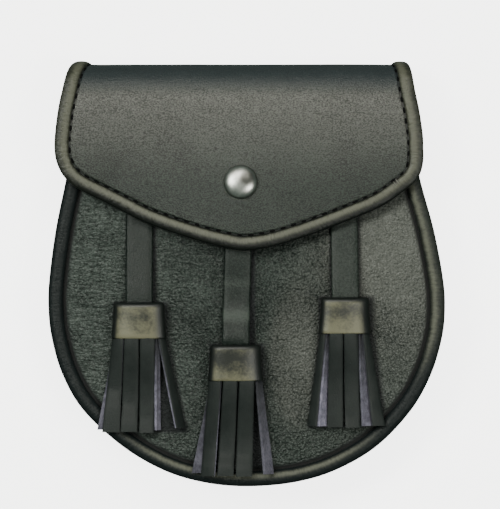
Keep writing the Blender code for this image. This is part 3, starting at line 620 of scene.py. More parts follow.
def cuff_finish():
    """Polished sleeve with darker smudges, painted lit olive on its front and painted in shade round its
    sides and top.
    """
    made = Finish("cuff_leather")
    at = made.here()
    smudge = made.noise(at, 130.0, 2.5, 0.6, 0.2)
    fine = made.noise(at, 900.0, 3.0)
    grain = made.cells(at, 1400.0)
    normal = made.bump(grain * -0.3 + fine * 0.5, 0.00014, 0.6)
    down = made.attribute("down")
    middle = (1 - abs(made.part(at, "X") + 0.0050) / 0.0140).ramp(0.0, 0.2)
    tone = smudge * 0.75 + fine * 0.35 + abs(down - 0.32) * 0.55 - middle * 0.13 - 0.03
    # Painted light on the cuff's front, painted shade round its sides, top and inside
    painted_highlight = made.mix(tone.ramp(0.38, 0.86), (0.008, 0.009, 0.006), (0.135, 0.128, 0.078))
    made.set(Base_Color=made.mix(made.attribute("face"), (0.0035, 0.0050, 0.0045), painted_highlight),
             Roughness=0.36 + smudge * 0.14, Normal=normal)
    return made.material


def strip_finish():
    """Grain side of the tassel strips."""
    made = Finish("strip_leather")
    at = made.here()
    cloudy = made.noise(at, 150.0, 3.0)
    grain = made.cells(at, 1400.0)
    along = made.noise(made.scaled(at, (1.0, 0.15, 1.0)), 1200.0, 2.0)
    normal = made.bump(grain * -0.4 + cloudy * 0.4 + along * 0.4, 0.0002, 0.7)
    made.set(Base_Color=made.mix(cloudy.ramp(0.3, 0.7), (0.0115, 0.0150, 0.0143), (0.0165, 0.0205, 0.0196)),
             Roughness=0.50 + cloudy * 0.12, Normal=normal, Specular_IOR_Level=0.26)
    return made.material


def suede_finish():
    """Flesh side and cut edges of the strips, painted light where their pale mark is high and painted shade
    where it is low.
    """
    made = Finish("strip_suede")
    at = made.here()
    nap = made.noise(made.scaled(at, (1.0, 0.5, 1.0)), 1500.0, 5.0, 0.7)
    cloudy = made.noise(at, 240.0, 3.0)
    normal = made.bump(nap, 0.0003, 0.9)
    tone = (nap * 0.6 + cloudy * 0.5).ramp(0.35, 0.75)
    # Suede in painted shade, and suede in painted light
    dim = made.mix(tone, (0.008, 0.009, 0.013), (0.034, 0.034, 0.044))
    light = made.mix(tone, (0.110, 0.100, 0.155), (0.400, 0.375, 0.500))
    made.set(Base_Color=made.mix(made.attribute("pale"), dim, light), Roughness=0.9, Normal=normal,
             Sheen_Weight=0.1)
    return made.material


def thread_finish():
    """Waxed black thread."""
    made = Finish("stitch_thread")
    ply = made.noise(made.here(), 3000.0, 2.0)
    made.set(Base_Color=made.mix(ply, (0.0008, 0.0008, 0.001), (0.002, 0.002, 0.0025)),
             Roughness=0.75, Normal=made.bump(ply, 0.0001, 0.6), Specular_IOR_Level=0.12)
    return made.material


def metal_finish():
    """Satin metal of the snap, with a painted dark reflection on its dome."""
    made = Finish("snap_metal")
    at = made.here()
    cast = made.noise(at, 420.0, 4.0, 0.6)
    fine = made.noise(at, 3200.0, 2.0)
    normal = made.bump(cast * 0.3 + fine * 0.3, 0.00002, 0.5)
    # Painted dark reflection, right of the dome's middle
    painted_lighting = worn_place(made, at, FLAP_SHIFT + SNAP_X + 0.0028, POINT_Y + SNAP_UP + 0.0018, 0.0058, 0.0058)
    bright = made.mix(cast.ramp(0.3, 0.75), (0.40, 0.40, 0.385), (0.55, 0.55, 0.53))
    made.set(Base_Color=made.mix(painted_lighting.ramp(0.0, 0.95) * 0.90, bright, (0.045, 0.045, 0.040)),
             Roughness=0.30 + cast * 0.06, Normal=normal, Metallic=1.0)
    return made.material


FINISHES = {
    "panel": panel_finish(),
    "flap": flap_finish(),
    # Bindings: dark base colour, then the crest colour of wear and painted highlight
    "binding": binding_finish("binding_leather", (0.0030, 0.0040, 0.0032), (0.094, 0.094, 0.070), 0.29, 0.34,
                              6.5, upper_wear),
    "border": binding_finish("border_leather", (0.0078, 0.0108, 0.0115), (0.105, 0.107, 0.084), 0.36, 0.20,
                             11.0, lower_wear),
    "strap": strap_finish(),
    "cuff": cuff_finish(),
    "strip": strip_finish(),
    "suede": suede_finish(),
    "thread": thread_finish(),
    "metal": metal_finish(),
}


def ease(share):
    """A soft step from 0 to 1."""
    share = min(max(share, 0.0), 1.0)
    return share * share * (3 - 2 * share)


def lerp(first, second, share):
    return first + (second - first) * share


def spread(low, high, step):
    """Evenly spaced values no further apart than step."""
    count = max(1, math.ceil((high - low) / step - 1e-6))
    return [low + (high - low) * i / count for i in range(count + 1)]


def wave(x, y, size, seed):
    """A smooth unevenness between -1 and 1, in lumps of the given size."""
    return noise.noise(Vector((x / size, y / size, seed)))


def swelling(x, y, *swells):
    """Height of one or more swells at a place."""
    return sum(swell.height * wave(x, y, swell.size, swell.seed) for swell in swells)


def front_plane(y):
    """Height of the sloping front without its dome."""
    return DEPTH_TOP + (FOLD_Y - y) * math.tan(SLOPE)


def dome(x, y):
    across = x / DOME_HALF_WIDTH
    along = (y - DOME_Y) / DOME_HALF_HEIGHT
    return DOME * max(0.0, 1 - across * across - along * along) ** DOME_POWER


def front_height(x, y):
    """Height of the front panel's outer face."""
    return front_plane(y) + dome(x, y)


def hollow(x, y):
    """How far the back is pressed in over the loops."""
    across = ease((HOLLOW_HALF_X + HOLLOW_RAMP - abs(x)) / HOLLOW_RAMP)
    along = ease((HOLLOW_HALF_Y + HOLLOW_RAMP - abs(y - LOOP_Y)) / HOLLOW_RAMP)
    return HOLLOW * across * along


def flap_section(along):
    """Middle line of the flap, and its outward direction, from the point up."""
    if along <= FRONT_LENGTH:
        below = FRONT_LENGTH - along
        y = LINE_TOP_Y - below * math.cos(SLOPE)
        z = LINE_TOP_Z + below * math.sin(SLOPE)
        return y, z, math.sin(SLOPE), math.cos(SLOPE)
    angle = FOLD_ANGLE - (along - FRONT_LENGTH) / FOLD_RADIUS
    if angle >= 0:
        y = FOLD_Y + FOLD_RADIUS * math.sin(angle)
        z = FOLD_Z - FOLD_RADIUS * math.cos(angle)
        return y, z, math.sin(angle), -math.cos(angle)
    return FOLD_Y + angle * FOLD_RADIUS, BACK_LEVEL, 0.0, -1.0


def camber(along):
    """Bulge of the flap where it comes off the fold."""
    down = FRONT_LENGTH + CAMBER_START - along
    if down <= 0:
        return 0.0
    share = down / CAMBER_REACH
    return CAMBER * share * math.exp(1 - share) * ease(down / CAMBER_SOFT)


def flap_wave(x, along):
    """Gentle unevenness of the flap, none where it is held."""
    free = ease((FRONT_LENGTH + FOLD_LENGTH - along) / FOLD_LENGTH)
    return swelling(x, along, *FLAP_SWELLS) * free


def place_flap(x, along, height):
    """Bend the flat flap down the front, over the fold and inside the back."""
    y, z, out_y, out_z = flap_section(along)
    if along <= FRONT_LENGTH:
        z += dome(x, y)
    height += flap_wave(x, along) + camber(along)
    return (x, y + height * out_y, z + height * out_z)


def smooth_path(points, step):
    """Evenly spaced points on a smooth curve through the given ones."""
    ends = [points[0]] + list(points) + [points[-1]]
    dense = []
    for i in range(len(points) - 1):
        a, b, c, d = ends[i], ends[i + 1], ends[i + 2], ends[i + 3]
        for k in range(CURVE_STEPS):
            t = k / CURVE_STEPS
            dense.append(tuple(
                0.5 * (2 * b[n] + (c[n] - a[n]) * t
                       + (2 * a[n] - 5 * b[n] + 4 * c[n] - d[n]) * t * t
                       + (3 * b[n] - a[n] - 3 * c[n] + d[n]) * t ** 3)
                for n in range(len(b))))
    dense.append(tuple(points[-1]))
    lengths = [0.0]
    for p, q in zip(dense, dense[1:]):
        lengths.append(lengths[-1] + math.dist(p, q))
    count = max(8, round(lengths[-1] / step))
    path = []
    here = 0
    for i in range(count + 1):
        wanted = lengths[-1] * i / count
        while here < len(dense) - 2 and lengths[here + 1] < wanted:
            here += 1
        share = (wanted - lengths[here]) / (lengths[here + 1] - lengths[here])
        path.append(tuple(lerp(p, q, share) for p, q in zip(dense[here], dense[here + 1])))
    return path


def inset(path, amount):
    """The path moved to its inner side, which is on the left of its run."""
    moved = []
    for i, (x, y) in enumerate(path):
        before = path[max(i - 1, 0)]
        after = path[min(i + 1, len(path) - 1)]
        run_x, run_y = after[0] - before[0], after[1] - before[1]
        length = math.hypot(run_x, run_y)
        moved.append((x - amount * run_y / length, y + amount * run_x / length))
    return moved


def shifted(path, x, y):
    return [(px + x, py + y) for px, py in path]


@lru_cache
def body_path():
    """Outer edge of the pouch from the mouth's left end to its right end."""
    height = BODY_TOP - BODY_BOTTOM
    left = [(-HALF_BODY * row.left, BODY_BOTTOM + height * row.height) for row in BODY_SIDES]
    right = [(HALF_BODY * row.right, BODY_BOTTOM + height * row.height) for row in BODY_SIDES]
    return smooth_path(left + [(0.0, BODY_BOTTOM)] + right[::-1], EDGE_STEP)


def front_edge():
    return shifted(body_path(), -SKEW_X / 2, SKEW_Y / 2)


def back_edge():
    return shifted(body_path(), SKEW_X / 2, -SKEW_Y / 2)


@lru_cache
def flap_path():
    """Outer edge of the flat flap from the back's left end to its right end."""
    half = FLAP_WIDTH / 2
    rows = [(FRONT_LENGTH + FOLD_LENGTH * row.turn, row.left, row.right) for row in FLAP_FOLDS]
    rows += [(FRONT_LENGTH * row.height, row.left, row.right) for row in FLAP_SIDES]
    left = [(FLAP_SHIFT - half * row[1], row[0]) for row in rows]
    right = [(FLAP_SHIFT + half * row[2], row[0]) for row in rows]
    return smooth_path(left + [(FLAP_SHIFT + half * POINT_SIDE, 0.0)] + right[::-1], EDGE_STEP)


class Edge:
    """How far a place is from an edge path."""

    def __init__(self, path):
        self.tree = kdtree.KDTree(len(path))
        for number, (x, y) in enumerate(path):
            self.tree.insert((x, y, 0.0), number)
        self.tree.balance()

    def away(self, x, y):
        return self.tree.find((x, y, 0.0))[2]


BODY_EDGE = Edge(front_edge())
FLAP_EDGE = Edge(flap_path())


def at_share(points, share):
    """The place at a share of the way through a list of points."""
    place = share * (len(points) - 1)
    low = min(int(place), len(points) - 2)
    return tuple(lerp(a, b, place - low) for a, b in zip(points[low], points[low + 1]))


def outline_rows(path, depths, count, top):
    """Rows of places inside a U-shaped outline, from its ends to its lowest place.

    Each row starts and ends with places at the given depths from the outline,
    so that a groove along the outline is drawn by whole lines of the mesh.
    The rows lie a little closer towards the lowest place.
    """
    low = min(range(len(path)), key=lambda i: path[i][1])
    lines = [inset(path, depth) for depth in depths]
    lines = [[(x, min(y, top)) for x, y in line] for line in lines]
    rows = []
    for j in range(count + 1):
        share = (j / count) ** ROW_POWER
        left = [at_share(line[:low + 1], share) for line in lines]
        right = [at_share(line[low:][::-1], share) for line in lines]
        middle = [tuple(lerp(a, b, i / COLUMNS) for a, b in zip(left[-1], right[-1]))
                  for i in range(1, COLUMNS)]
        if j == count:
            right = left
            middle = [left[-1]] * (COLUMNS - 1)
        rows.append(left + middle + right[::-1])
    return rows


def add_piece(name, bm, finishes, nodes, smooth=60.0):
    """A closed mesh as an object that rides on the pouch and stands for nodes."""
    mesh = bpy.data.meshes.new(name)
    bm.to_mesh(mesh)
    bm.free()
    mesh.shade_smooth()
    mesh.set_sharp_from_angle(angle=math.radians(smooth))
    for finish in finishes:
        mesh.materials.append(FINISHES[finish])
    piece = bpy.data.objects.new(name, mesh)
    bpy.context.scene.collection.objects.link(piece)
    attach(piece, "root")
    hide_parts(*nodes)
    return piece


def sheet_mesh(rows, place, half, groove=None):
    """A sheet of leather over rows of places, as a closed mesh with two faces."""
    bm = bmesh.new()
    layer = bm.verts.layers.float.new("groove")
    grids = []
    for height in (-half, half):
        grid = []
        for row in rows:
            made = {}
            for x, along in row:
                if (x, along) not in made:
                    vert = bm.verts.new(place(x, along, height))
                    if groove and height > 0:
                        vert[layer] = groove(x, along)
                    made[x, along] = vert
            grid.append([made[spot] for spot in row])
        grids.append(grid)
    low, high = grids

    def face(*corners):
        unlike = list(dict.fromkeys(corners))
        if len(unlike) > 2:
            bm.faces.new(unlike)

    last = len(rows) - 1
    end = len(rows[0]) - 1
    for j in range(last):
        for i in range(end):
            face(high[j][i], high[j][i + 1], high[j + 1][i + 1], high[j + 1][i])
            face(low[j][i], low[j + 1][i], low[j + 1][i + 1], low[j][i + 1])
        face(high[j][0], high[j + 1][0], low[j + 1][0], low[j][0])
        face(low[j][end], low[j + 1][end], high[j + 1][end], high[j][end])
    for i in range(end):
        face(low[0][i], low[0][i + 1], high[0][i + 1], high[0][i])
    bmesh.ops.recalc_face_normals(bm, faces=bm.faces[:])
    return bm


def skin_mesh(rings, closed_run=False, marks=None):
    """Skin a row of like rings; the map "path" runs along and around, in metres.

    Each mark gives a value to a vertex from its ring's number and its place in it.
    """
    bm = bmesh.new()
    uv = bm.loops.layers.uv.new("path")
    names = list(marks or {})
    layers = {name: bm.verts.layers.float.new(name) for name in names}
    rows = []
    for number, ring in enumerate(rings):
        row = [bm.verts.new(point) for point in ring]
        for name in names:
            for place, vert in enumerate(row):
                vert[layers[name]] = marks[name](number, place)
        rows.append(row)
    count = len(rings[0])
    around = [0.0]
    for i in range(count):
        around.append(around[-1] + math.dist(rings[0][i], rings[0][(i + 1) % count]))
    along = [0.0]
    for first, second in zip(rings, rings[1:]):
        along.append(along[-1] + math.dist(first[0], second[0]))
    spans = [(j, j + 1, along[j], along[j + 1]) for j in range(len(rows) - 1)]
    if closed_run:
        spans.append((len(rows) - 1, 0, along[-1], along[-1] + math.dist(rings[-1][0], rings[0][0])))
    for j, k, here, there in spans:
        for i in range(count):
            n = (i + 1) % count
            face = bm.faces.new((rows[j][i], rows[j][n], rows[k][n], rows[k][i]))
            places = ((here, around[i]), (here, around[i + 1]), (there, around[i + 1]), (there, around[i]))
            for loop, place in zip(face.loops, places):
                loop[uv].uv = place
    if not closed_run:
        bm.faces.new(rows[0])
        bm.faces.new(rows[-1])
    bmesh.ops.recalc_face_normals(bm, faces=bm.faces[:])
    return bm


def build_back_panel():
    """Flat back, pressed in over the loops, with a softened cut edge."""
    rows = outline_rows(back_edge(), BACK_DEPTHS, BACK_ROWS, BODY_TOP)

    def place(x, y, height):
        return (x, y, BACK_LEATHER / 2 + height + hollow(x, y))

    bm = sheet_mesh(rows, place, BACK_LEATHER / 2)
    piece = add_piece("back_panel_skin", bm, ["panel"], ["back_panel"], 40.0)
    soften(piece, 0.00045)


def soften(piece, width):
    """Round the hard edges of a piece."""
    bevel = piece.modifiers.new("soft_edge", "BEVEL")
    bevel.width = width
    bevel.segments = 3
    bevel.limit_method = "ANGLE"
    bevel.angle_limit = math.radians(50)


def groove_share(away, middle, width):
    """1 in the middle of a groove, fading to both sides."""
    return math.exp(-((away - middle) / width) ** 2)


def build_front_panel():
    """Domed front that sinks into a groove along its rolled border."""
    rows = outline_rows(front_edge(), FRONT_DEPTHS, FRONT_ROWS, BODY_TOP)

    def place(x, y, height):
        away = BODY_EDGE.away(x, y)
        groove = GROOVE_DEPTH * groove_share(away, GROOVE_MIDDLE, GROOVE_WIDTH)
        inside = ease((away - FRONT_ROLL_WIDTH) / FRONT_SWELL_RAMP)
        z = front_height(x, y) - FRONT_LEATHER / 2 + height
        return (x, y, z - groove + swelling(x, y, *FRONT_SWELLS) * inside)

    # How dark the groove is painted, as painted shade
    def groove(x, y):
        share = groove_share(BODY_EDGE.away(x, y), GROOVE_MIDDLE, GROOVE_WIDTH)
        return min(1.0, GROOVE_TONE * share)

    bm = sheet_mesh(rows, place, FRONT_LEATHER / 2, groove)
    add_piece("front_panel_skin", bm, ["panel"], ["front_panel"])


def build_gusset():
    """Side wall, tucked in softly, with slack creases."""
    path = body_path()
    shares = [i / GUSSET_STEPS for i in range(GUSSET_STEPS + 1)]
    walls = []
    for depth in (GUSSET_INSET, GUSSET_INSET + GUSSET_LEATHER):
        wall = []
        for share in shares:
            bulge = math.sin(math.pi * share)
            line = inset(path, depth)
            points = []
            for number, (x, y) in enumerate(line):
                slack = swelling(number * EDGE_STEP, share * 0.02, GUSSET_SWELL) * bulge
                away = (GUSSET_TUCK + slack) * bulge
                wall_x, wall_y = inward(path, number)
                px = x + wall_x * away + SKEW_X * (0.5 - share)
                py = y + wall_y * away - SKEW_Y * (0.5 - share)
                low = BACK_LEATHER + GAP
                high = front_plane(py) - FRONT_LEATHER - GAP
                points.append((px, py, lerp(low, high, share)))
            wall.append(points)
        walls.append(wall)
    lines = walls[0] + walls[1][::-1]
    bm = skin_mesh(list(zip(*lines)))
    add_piece("gusset_skin", bm, ["panel"], ["gusset"])


def inward(path, number):
    """Direction to the inner side of a path at one of its points."""
    before = path[max(number - 1, 0)]
    after = path[min(number + 1, len(path) - 1)]
    length = math.dist(before, after)
    return -(after[1] - before[1]) / length, (after[0] - before[0]) / length


def roll_crest(half, foot, rise, steps):
    """Upper side of a roll's section: how deep, how high, how near its crest, how much crest wear and
    painted highlight.
    """
    section = []
    for i in range(steps + 1):
        angle = math.pi * i / steps
        painted_highlight = max(0.0, math.cos(angle - RUB_AND_HIGHLIGHT_ANGLE))
        section.append((half * (1 + math.cos(angle)), foot + rise * math.sin(angle) ** ROLL_POWER,
                        math.sin(angle), painted_highlight))
    return section


def build_front_binding():
    """Rolled border of the front, over a fine core."""
    edge = front_edge()
    half = GROOVE_MIDDLE / 2 - ROLL_CLEAR
    sunk = GROOVE_DEPTH * ROLL_SUNK
    section = roll_crest(half, -sunk, FRONT_ROLL_PROUD + sunk, BORDER_STEPS)
    inner = FRONT_PANEL_INSET - GAP
    section += [(0.0, -FRONT_LEATHER * 0.35, 0.0, 0.0), (ROLL_CLEAR, -FRONT_LEATHER * 0.8, 0.0, 0.0),
                (inner / 3, -FRONT_LEATHER, 0.0, 0.0), (inner, -FRONT_LEATHER, 0.0, 0.0),
                (inner, -GROOVE_DEPTH * 0.8, 0.0, 0.0)]
    lines = []
    for depth, rise, crest, _ in section:
        line = []
        for number, (x, y) in enumerate(inset(edge, depth)):
            lump = swelling(number * EDGE_STEP, depth, *BORDER_SWELLS)
            line.append((x, y, front_plane(y) + rise + lump * crest))
        lines.append(line)
    # The crest mark carries the crest wear and painted highlight
    marks = {"crest": lambda number, place: section[place][3],
             "run": lambda number, place: 1.0, "inner": lambda number, place: 0.0}
    bm = skin_mesh(list(zip(*lines)), marks=marks)
    add_piece("front_binding_roll", bm, ["border"], ["front_binding"])


def build_flap():
    """Flap leather with a stitched groove along its rolled edge."""
    shoulder = FRONT_LENGTH + FOLD_LENGTH + MOUTH_DROP - 2 * GAP
    tail_end = FRONT_LENGTH + FOLD_LENGTH + FLAP_TAIL
    inside = GUSSET_INSET + GUSSET_LEATHER + GUSSET_TUCK + TAIL_SIDE
    left, right = -HALF_BODY * BODY_SIDES[0].left + inside, HALF_BODY * BODY_SIDES[0].right - inside
    top = FRONT_LENGTH + FOLD_LENGTH
    rows = outline_rows(flap_path(), FLAP_DEPTHS, FLAP_ROWS, top - FLAP_TOP_CLEAR)
    wide = len(rows[0]) - 1
    tail = spread(shoulder, tail_end, TAIL_STEP)[::-1]
    rows = [[(lerp(left, right, i / wide), along) for i in range(wide + 1)] for along in tail] + rows

    def share(x, along):
        away = FLAP_EDGE.away(x, along)
        return groove_share(away, FLAP_GROOVE_MIDDLE, FLAP_GROOVE_WIDTH) if along < top else 0.0

    def place(x, along, height):
        sunk = FLAP_GROOVE_DEPTH * share(x, along) if height > 0 else 0.0
        return place_flap(x, along, height - sunk)

    bm = sheet_mesh(rows, place, HALF_FLAP, share)
    add_piece("flap_skin", bm, ["flap"], ["flap"])


def build_flap_binding():
    """Rolled edge of the flap, wrinkled round its corners, with its join."""
    path = flap_path()
    half = FLAP_ROLL_WIDTH / 2
    slot = HALF_FLAP + 0.5 * GAP
    steps = FLAP_ROLL_STEPS
    section = roll_crest(half, slot, FLAP_ROLL_PROUD + HALF_FLAP - slot, steps)
    depth, rise, *rest = section[0]
    section[0] = (depth, rise - FLAP_GROOVE_DEPTH, *rest)
    sink = FLAP_ROLL_UNDER + HALF_FLAP - slot
    for i in range(steps // 2 + 1):
        angle = math.pi * i / (steps // 2)
        section.append((half * (1 - math.cos(angle)), -slot - sink * math.sin(angle), 0.0, 0.0))
    inner = FLAP_SHEET_INSET - GAP
    section += [(inner, -slot, 0.0, 0.0), (inner, slot, 0.0, 0.0)]
    middle = len(path) // 2
    lower = [i for i in range(middle, len(path)) if path[i][1] < FRONT_LENGTH / 2]
    join = min(lower, key=lambda i: abs(path[i][0] - NICK_X))
    corners = [bend_at(path, number) for number in range(len(path))]
    lines = []
    for depth, rise, crest, _ in section:
        line = []
        for number, (x, along) in enumerate(inset(path, depth)):
            run = number * EDGE_STEP
            tight = min(1.0, corners[number] * TIGHT_BEND)
            lump = swelling(run, depth, FLAP_ROLL_SWELL)
            lump += (WRINKLE + CORNER_WRINKLE * tight) * wave(run, depth / 2, WRINKLE_SIZE, 6.6)
            line.append(place_flap(x, along, rise + lump * crest))
        lines.append(line)

    def inner_side(number, place):
        return ease((section[place][0] / half - 1.25) * 4) if place <= steps else 0.0

    # The crest mark carries the crest wear and painted highlight
    marks = {"crest": lambda number, place: section[place][3],
             "run": lambda number, place: (number - join) * EDGE_STEP, "inner": inner_side}
    bm = skin_mesh(list(zip(*lines)), marks=marks)
    add_piece("flap_binding_roll", bm, ["binding"], ["flap_binding"])


def bend_at(path, number):
    """Turn of a path at a point, in radians a metre."""
    reach = 4
    low = path[max(number - reach, 0)]
    high = path[min(number + reach, len(path) - 1)]
    here = path[number]
    first = math.atan2(here[1] - low[1], here[0] - low[0])
    second = math.atan2(high[1] - here[1], high[0] - here[0])
    turn = (second - first + math.pi) % (2 * math.pi) - math.pi
    return abs(turn) / (reach * EDGE_STEP) if 0 < number < len(path) - 1 else 0.0


def stitch_tree():
    """Nodes that lay rounded stitches along a line."""
    tree = bpy.data.node_groups.new("stitch_row", "GeometryNodeTree")
    for name, way, kind in (("Line", "INPUT", "Geometry"), ("Pitch", "INPUT", "Float"),
                            ("Length", "INPUT", "Float"), ("Radius", "INPUT", "Float"),
                            ("Thread", "INPUT", "Material"), ("Stitches", "OUTPUT", "Geometry")):
        tree.interface.new_socket(name, in_out=way, socket_type="NodeSocket" + kind)
    nodes = tree.nodes
    given = nodes.new("NodeGroupInput")
    result = nodes.new("NodeGroupOutput")
    curve = nodes.new("GeometryNodeMeshToCurve")
    even = nodes.new("GeometryNodeResampleCurve")
    even.mode = "LENGTH"
    ball = nodes.new("GeometryNodeMeshUVSphere")
    ball.inputs["Segments"].default_value = 10
    ball.inputs["Rings"].default_value = 7
    ball.inputs["Radius"].default_value = 1.0
    half = nodes.new("ShaderNodeMath")
    half.operation = "MULTIPLY"
    half.inputs[1].default_value = 0.5
    size = nodes.new("ShaderNodeCombineXYZ")
    shape = nodes.new("GeometryNodeTransform")
    tangent = nodes.new("GeometryNodeInputTangent")
    aim = nodes.new("FunctionNodeAlignRotationToVector")
    aim.axis = "X"
    vary = nodes.new("FunctionNodeRandomValue")
    vary.data_type = "FLOAT"
    vary.inputs[2].default_value = 0.88
    vary.inputs[3].default_value = 1.08
    vary.inputs["Seed"].default_value = 11
    copies = nodes.new("GeometryNodeInstanceOnPoints")
    real = nodes.new("GeometryNodeRealizeInstances")
    colour = nodes.new("GeometryNodeSetMaterial")
    for source, leaves, target, enters in (
            (given, "Line", curve, "Mesh"), (curve, "Curve", even, "Curve"),
            (given, "Pitch", even, "Length"), (given, "Length", half, 0),
            (half, 0, size, "X"), (given, "Radius", size, "Y"), (given, "Radius", size, "Z"),
            (ball, "Mesh", shape, "Geometry"), (size, "Vector", shape, "Scale"),
            (tangent, "Tangent", aim, "Vector"), (even, "Curve", copies, "Points"),
            (shape, "Geometry", copies, "Instance"), (aim, "Rotation", copies, "Rotation"),
            (vary, 1, copies, "Scale"), (copies, "Instances", real, "Geometry"),
            (real, "Geometry", colour, "Geometry"), (given, "Thread", colour, "Material"),
            (colour, "Geometry", result, "Stitches")):
        tree.links.new(source.outputs[leaves], target.inputs[enters])
    return tree


STITCHES = stitch_tree()


def add_stitches(name, line, pitch=STITCH_PITCH, length=STITCH_LENGTH, radius=STITCH_RADIUS):
    """A row of stitches along a line of points, as a plain mesh."""
    mesh = bpy.data.meshes.new(name + "_line")
    mesh.from_pydata(line, [(i, i + 1) for i in range(len(line) - 1)], [])
    row = bpy.data.objects.new(name, mesh)
    bpy.context.scene.collection.objects.link(row)
    sewn = row.modifiers.new("stitches", "NODES")
    sewn.node_group = STITCHES
    values = {"Pitch": pitch, "Length": length, "Radius": radius, "Thread": FINISHES["thread"]}
    for socket in STITCHES.interface.items_tree:
        if socket.in_out == "INPUT" and socket.name in values:
            sewn[socket.identifier] = values[socket.name]
    bpy.context.view_layer.update()
    evaluated = row.evaluated_get(bpy.context.evaluated_depsgraph_get())
    plain = bpy.data.meshes.new_from_object(evaluated)
    row.modifiers.remove(sewn)
    row.data = plain
    plain.shade_smooth()
    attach(row, "root")


def build_stitches():
    """Stitch rows: round the flap, round the back, across the tail."""
    path = inset(flap_path(), FLAP_GROOVE_MIDDLE)
    keep = [(x, along) for x, along in path if along < FRONT_LENGTH + FOLD_LENGTH - STITCH_STOP]
    line = [place_flap(x, along, HALF_FLAP - FLAP_GROOVE_DEPTH * 0.55) for x, along in keep]
    add_stitches("flap_stitches", line)
    edge = inset(back_edge(), BACK_STITCH_INSET)
    sunk = STITCH_RADIUS - STITCH_SUNK
    line = [(x, y, hollow(x, y) + sunk) for x, y in edge]
    add_stitches("back_stitches", line)
    across = spread(edge[0][0] + TAIL_STITCH_SIDE, edge[-1][0] - TAIL_STITCH_SIDE, TAIL_STEP)
    for number, drop in enumerate(TAIL_STITCH_DROPS):
        y = BODY_TOP - drop
        line = [(x, y, hollow(x, y) + sunk) for x in across]
        add_stitches("tail_stitches_" + str(number), line)


def strap_rise(tassel, y):
    """Height of a strap's underside: it dips, bows out and climbs into its cuff."""
    top = tassel.cuff_top * HEIGHT / 2
    free = STRAP_WIDTH * tassel.free
    share = min(max((top + free - y) / free, 0.0), 1.0)
    middle = CUFF_THICKNESS / 2 + GAP - STRAP_LEATHER / 2
    bump = STRAP_BUMP * math.sin(math.pi * share ** BUMP_PLACE)
    bump += STRAP_DIP * (1 - ease(share / DIP_END))
    climb = lerp(ease(share), ease((share - CLIMB_START) / (1 - CLIMB_START)), tassel.bow)
    return GAP + (middle - GAP) * climb + bump * tassel.bow


def on_front(x, y, rise):
    """A place at a height over the front panel."""
    return (x, y, front_height(x, y) + rise)


def band_section(width, leather, soft, between):
    """Section of a flat band with soft edges, from its underside's left edge round."""
    half = width / 2
    section = [(-half, soft), (-half + soft / 3, soft / 3), (-half + soft, 0.0)]
    edge = [(-x, z) for x, z in section[::-1]]
    section += [(x, 0.0) for x in between] + edge
    return section + [(x, leather - z) for x, z in section[::-1]]


def build_strap(tassel):
    """Flat strap with soft edges."""
    high = tassel.strap_top * HEIGHT / 2
    low = tassel.cuff_top * HEIGHT / 2 - STRAP_IN_CUFF
    start = tassel.strap_x * WIDTH / 2
    end = tassel.cuff_x * WIDTH / 2
    section = band_section(STRAP_WIDTH, STRAP_LEATHER, STRAP_SOFT, (-STRAP_WIDTH / 4, 0.0, STRAP_WIDTH / 4))
    rings = []
    for y in spread(low, high, STRAP_STEP)[::-1]:
        share = (high - y) / (high - low)
        x = start + (end - start) * ease(share)
        rise = strap_rise(tassel, y)
        sway = swelling(y, tassel.strap_x, STRAP_SWELL)
        rings.append([on_front(x + sway + px, y, rise + pz) for px, pz in section])
    bm = skin_mesh(rings)
    add_piece("strap_" + tassel.name, bm, ["strap"], ["tassel_strap_" + tassel.name])


def oval_point(turn, half_width, half_height):
    """A point on a flattened ring: turns from the front centre to the right."""
    angle = math.pi / 2 - 2 * math.pi * turn
    across = math.copysign(abs(math.cos(angle)) ** OVAL_POWER, math.cos(angle))
    up = math.copysign(abs(math.sin(angle)) ** OVAL_POWER, math.sin(angle))
    return half_width * across, half_height * up


def build_cuff(tassel):
    """Sleeve with a rolled top and a lip that thins to its lower edge."""
    x = tassel.cuff_x * WIDTH / 2
    top = tassel.cuff_top * HEIGHT / 2
    middle = CUFF_THICKNESS / 2 + GAP
    half_width = CUFF_WIDTH / 2 * tassel.size
    half_height = CUFF_THICKNESS / 2
    sleeves = CUFF_PROFILE + CUFF_INSIDE

    def ring(sleeve):
        points = []
        for i in range(CUFF_POINTS):
            turn = i / CUFF_POINTS
            across, up = oval_point(turn, half_width * sleeve.size, half_height * sleeve.height)
            dent = CUFF_DENT * wave(across, sleeve.down * CUFF_LENGTH, CUFF_DENT_SIZE, tassel.cuff_x * 9)
            points.append(on_front(x + across * (1 + dent / half_width), top - CUFF_LENGTH * sleeve.down,
                                   middle + up + dent))
        return points

    def face(number, place):
        """1 on the front of the sleeve, which is painted lit, 0 round its sides, its top and inside, which
        are painted in shade.
        """
        if number >= len(CUFF_PROFILE):
            return 0.0
        across, up = oval_point(place / CUFF_POINTS, 1.0, 1.0)
        start = FACE_START_LEFT if across < 0 else FACE_START_RIGHT
        below = ease((sleeves[number].down + FACE_TOP) / (2 * FACE_TOP))
        return ease((up - start) / FACE_RAMP) * below

    marks = {"face": face, "down": lambda number, place: sleeves[number].down}
    bm = skin_mesh([ring(sleeve) for sleeve in sleeves], closed_run=True, marks=marks)
    add_piece("cuff_" + tassel.name, bm, ["cuff"], ["tassel_cuff_" + tassel.name])


def border_rise(x, y):
    """How far the rolled border lifts what lies across it."""
    share = (FRONT_ROLL_WIDTH + BORDER_RAMP - BODY_EDGE.away(x, y)) / BORDER_RAMP
    return (FRONT_ROLL_PROUD + GAP) * ease(share)


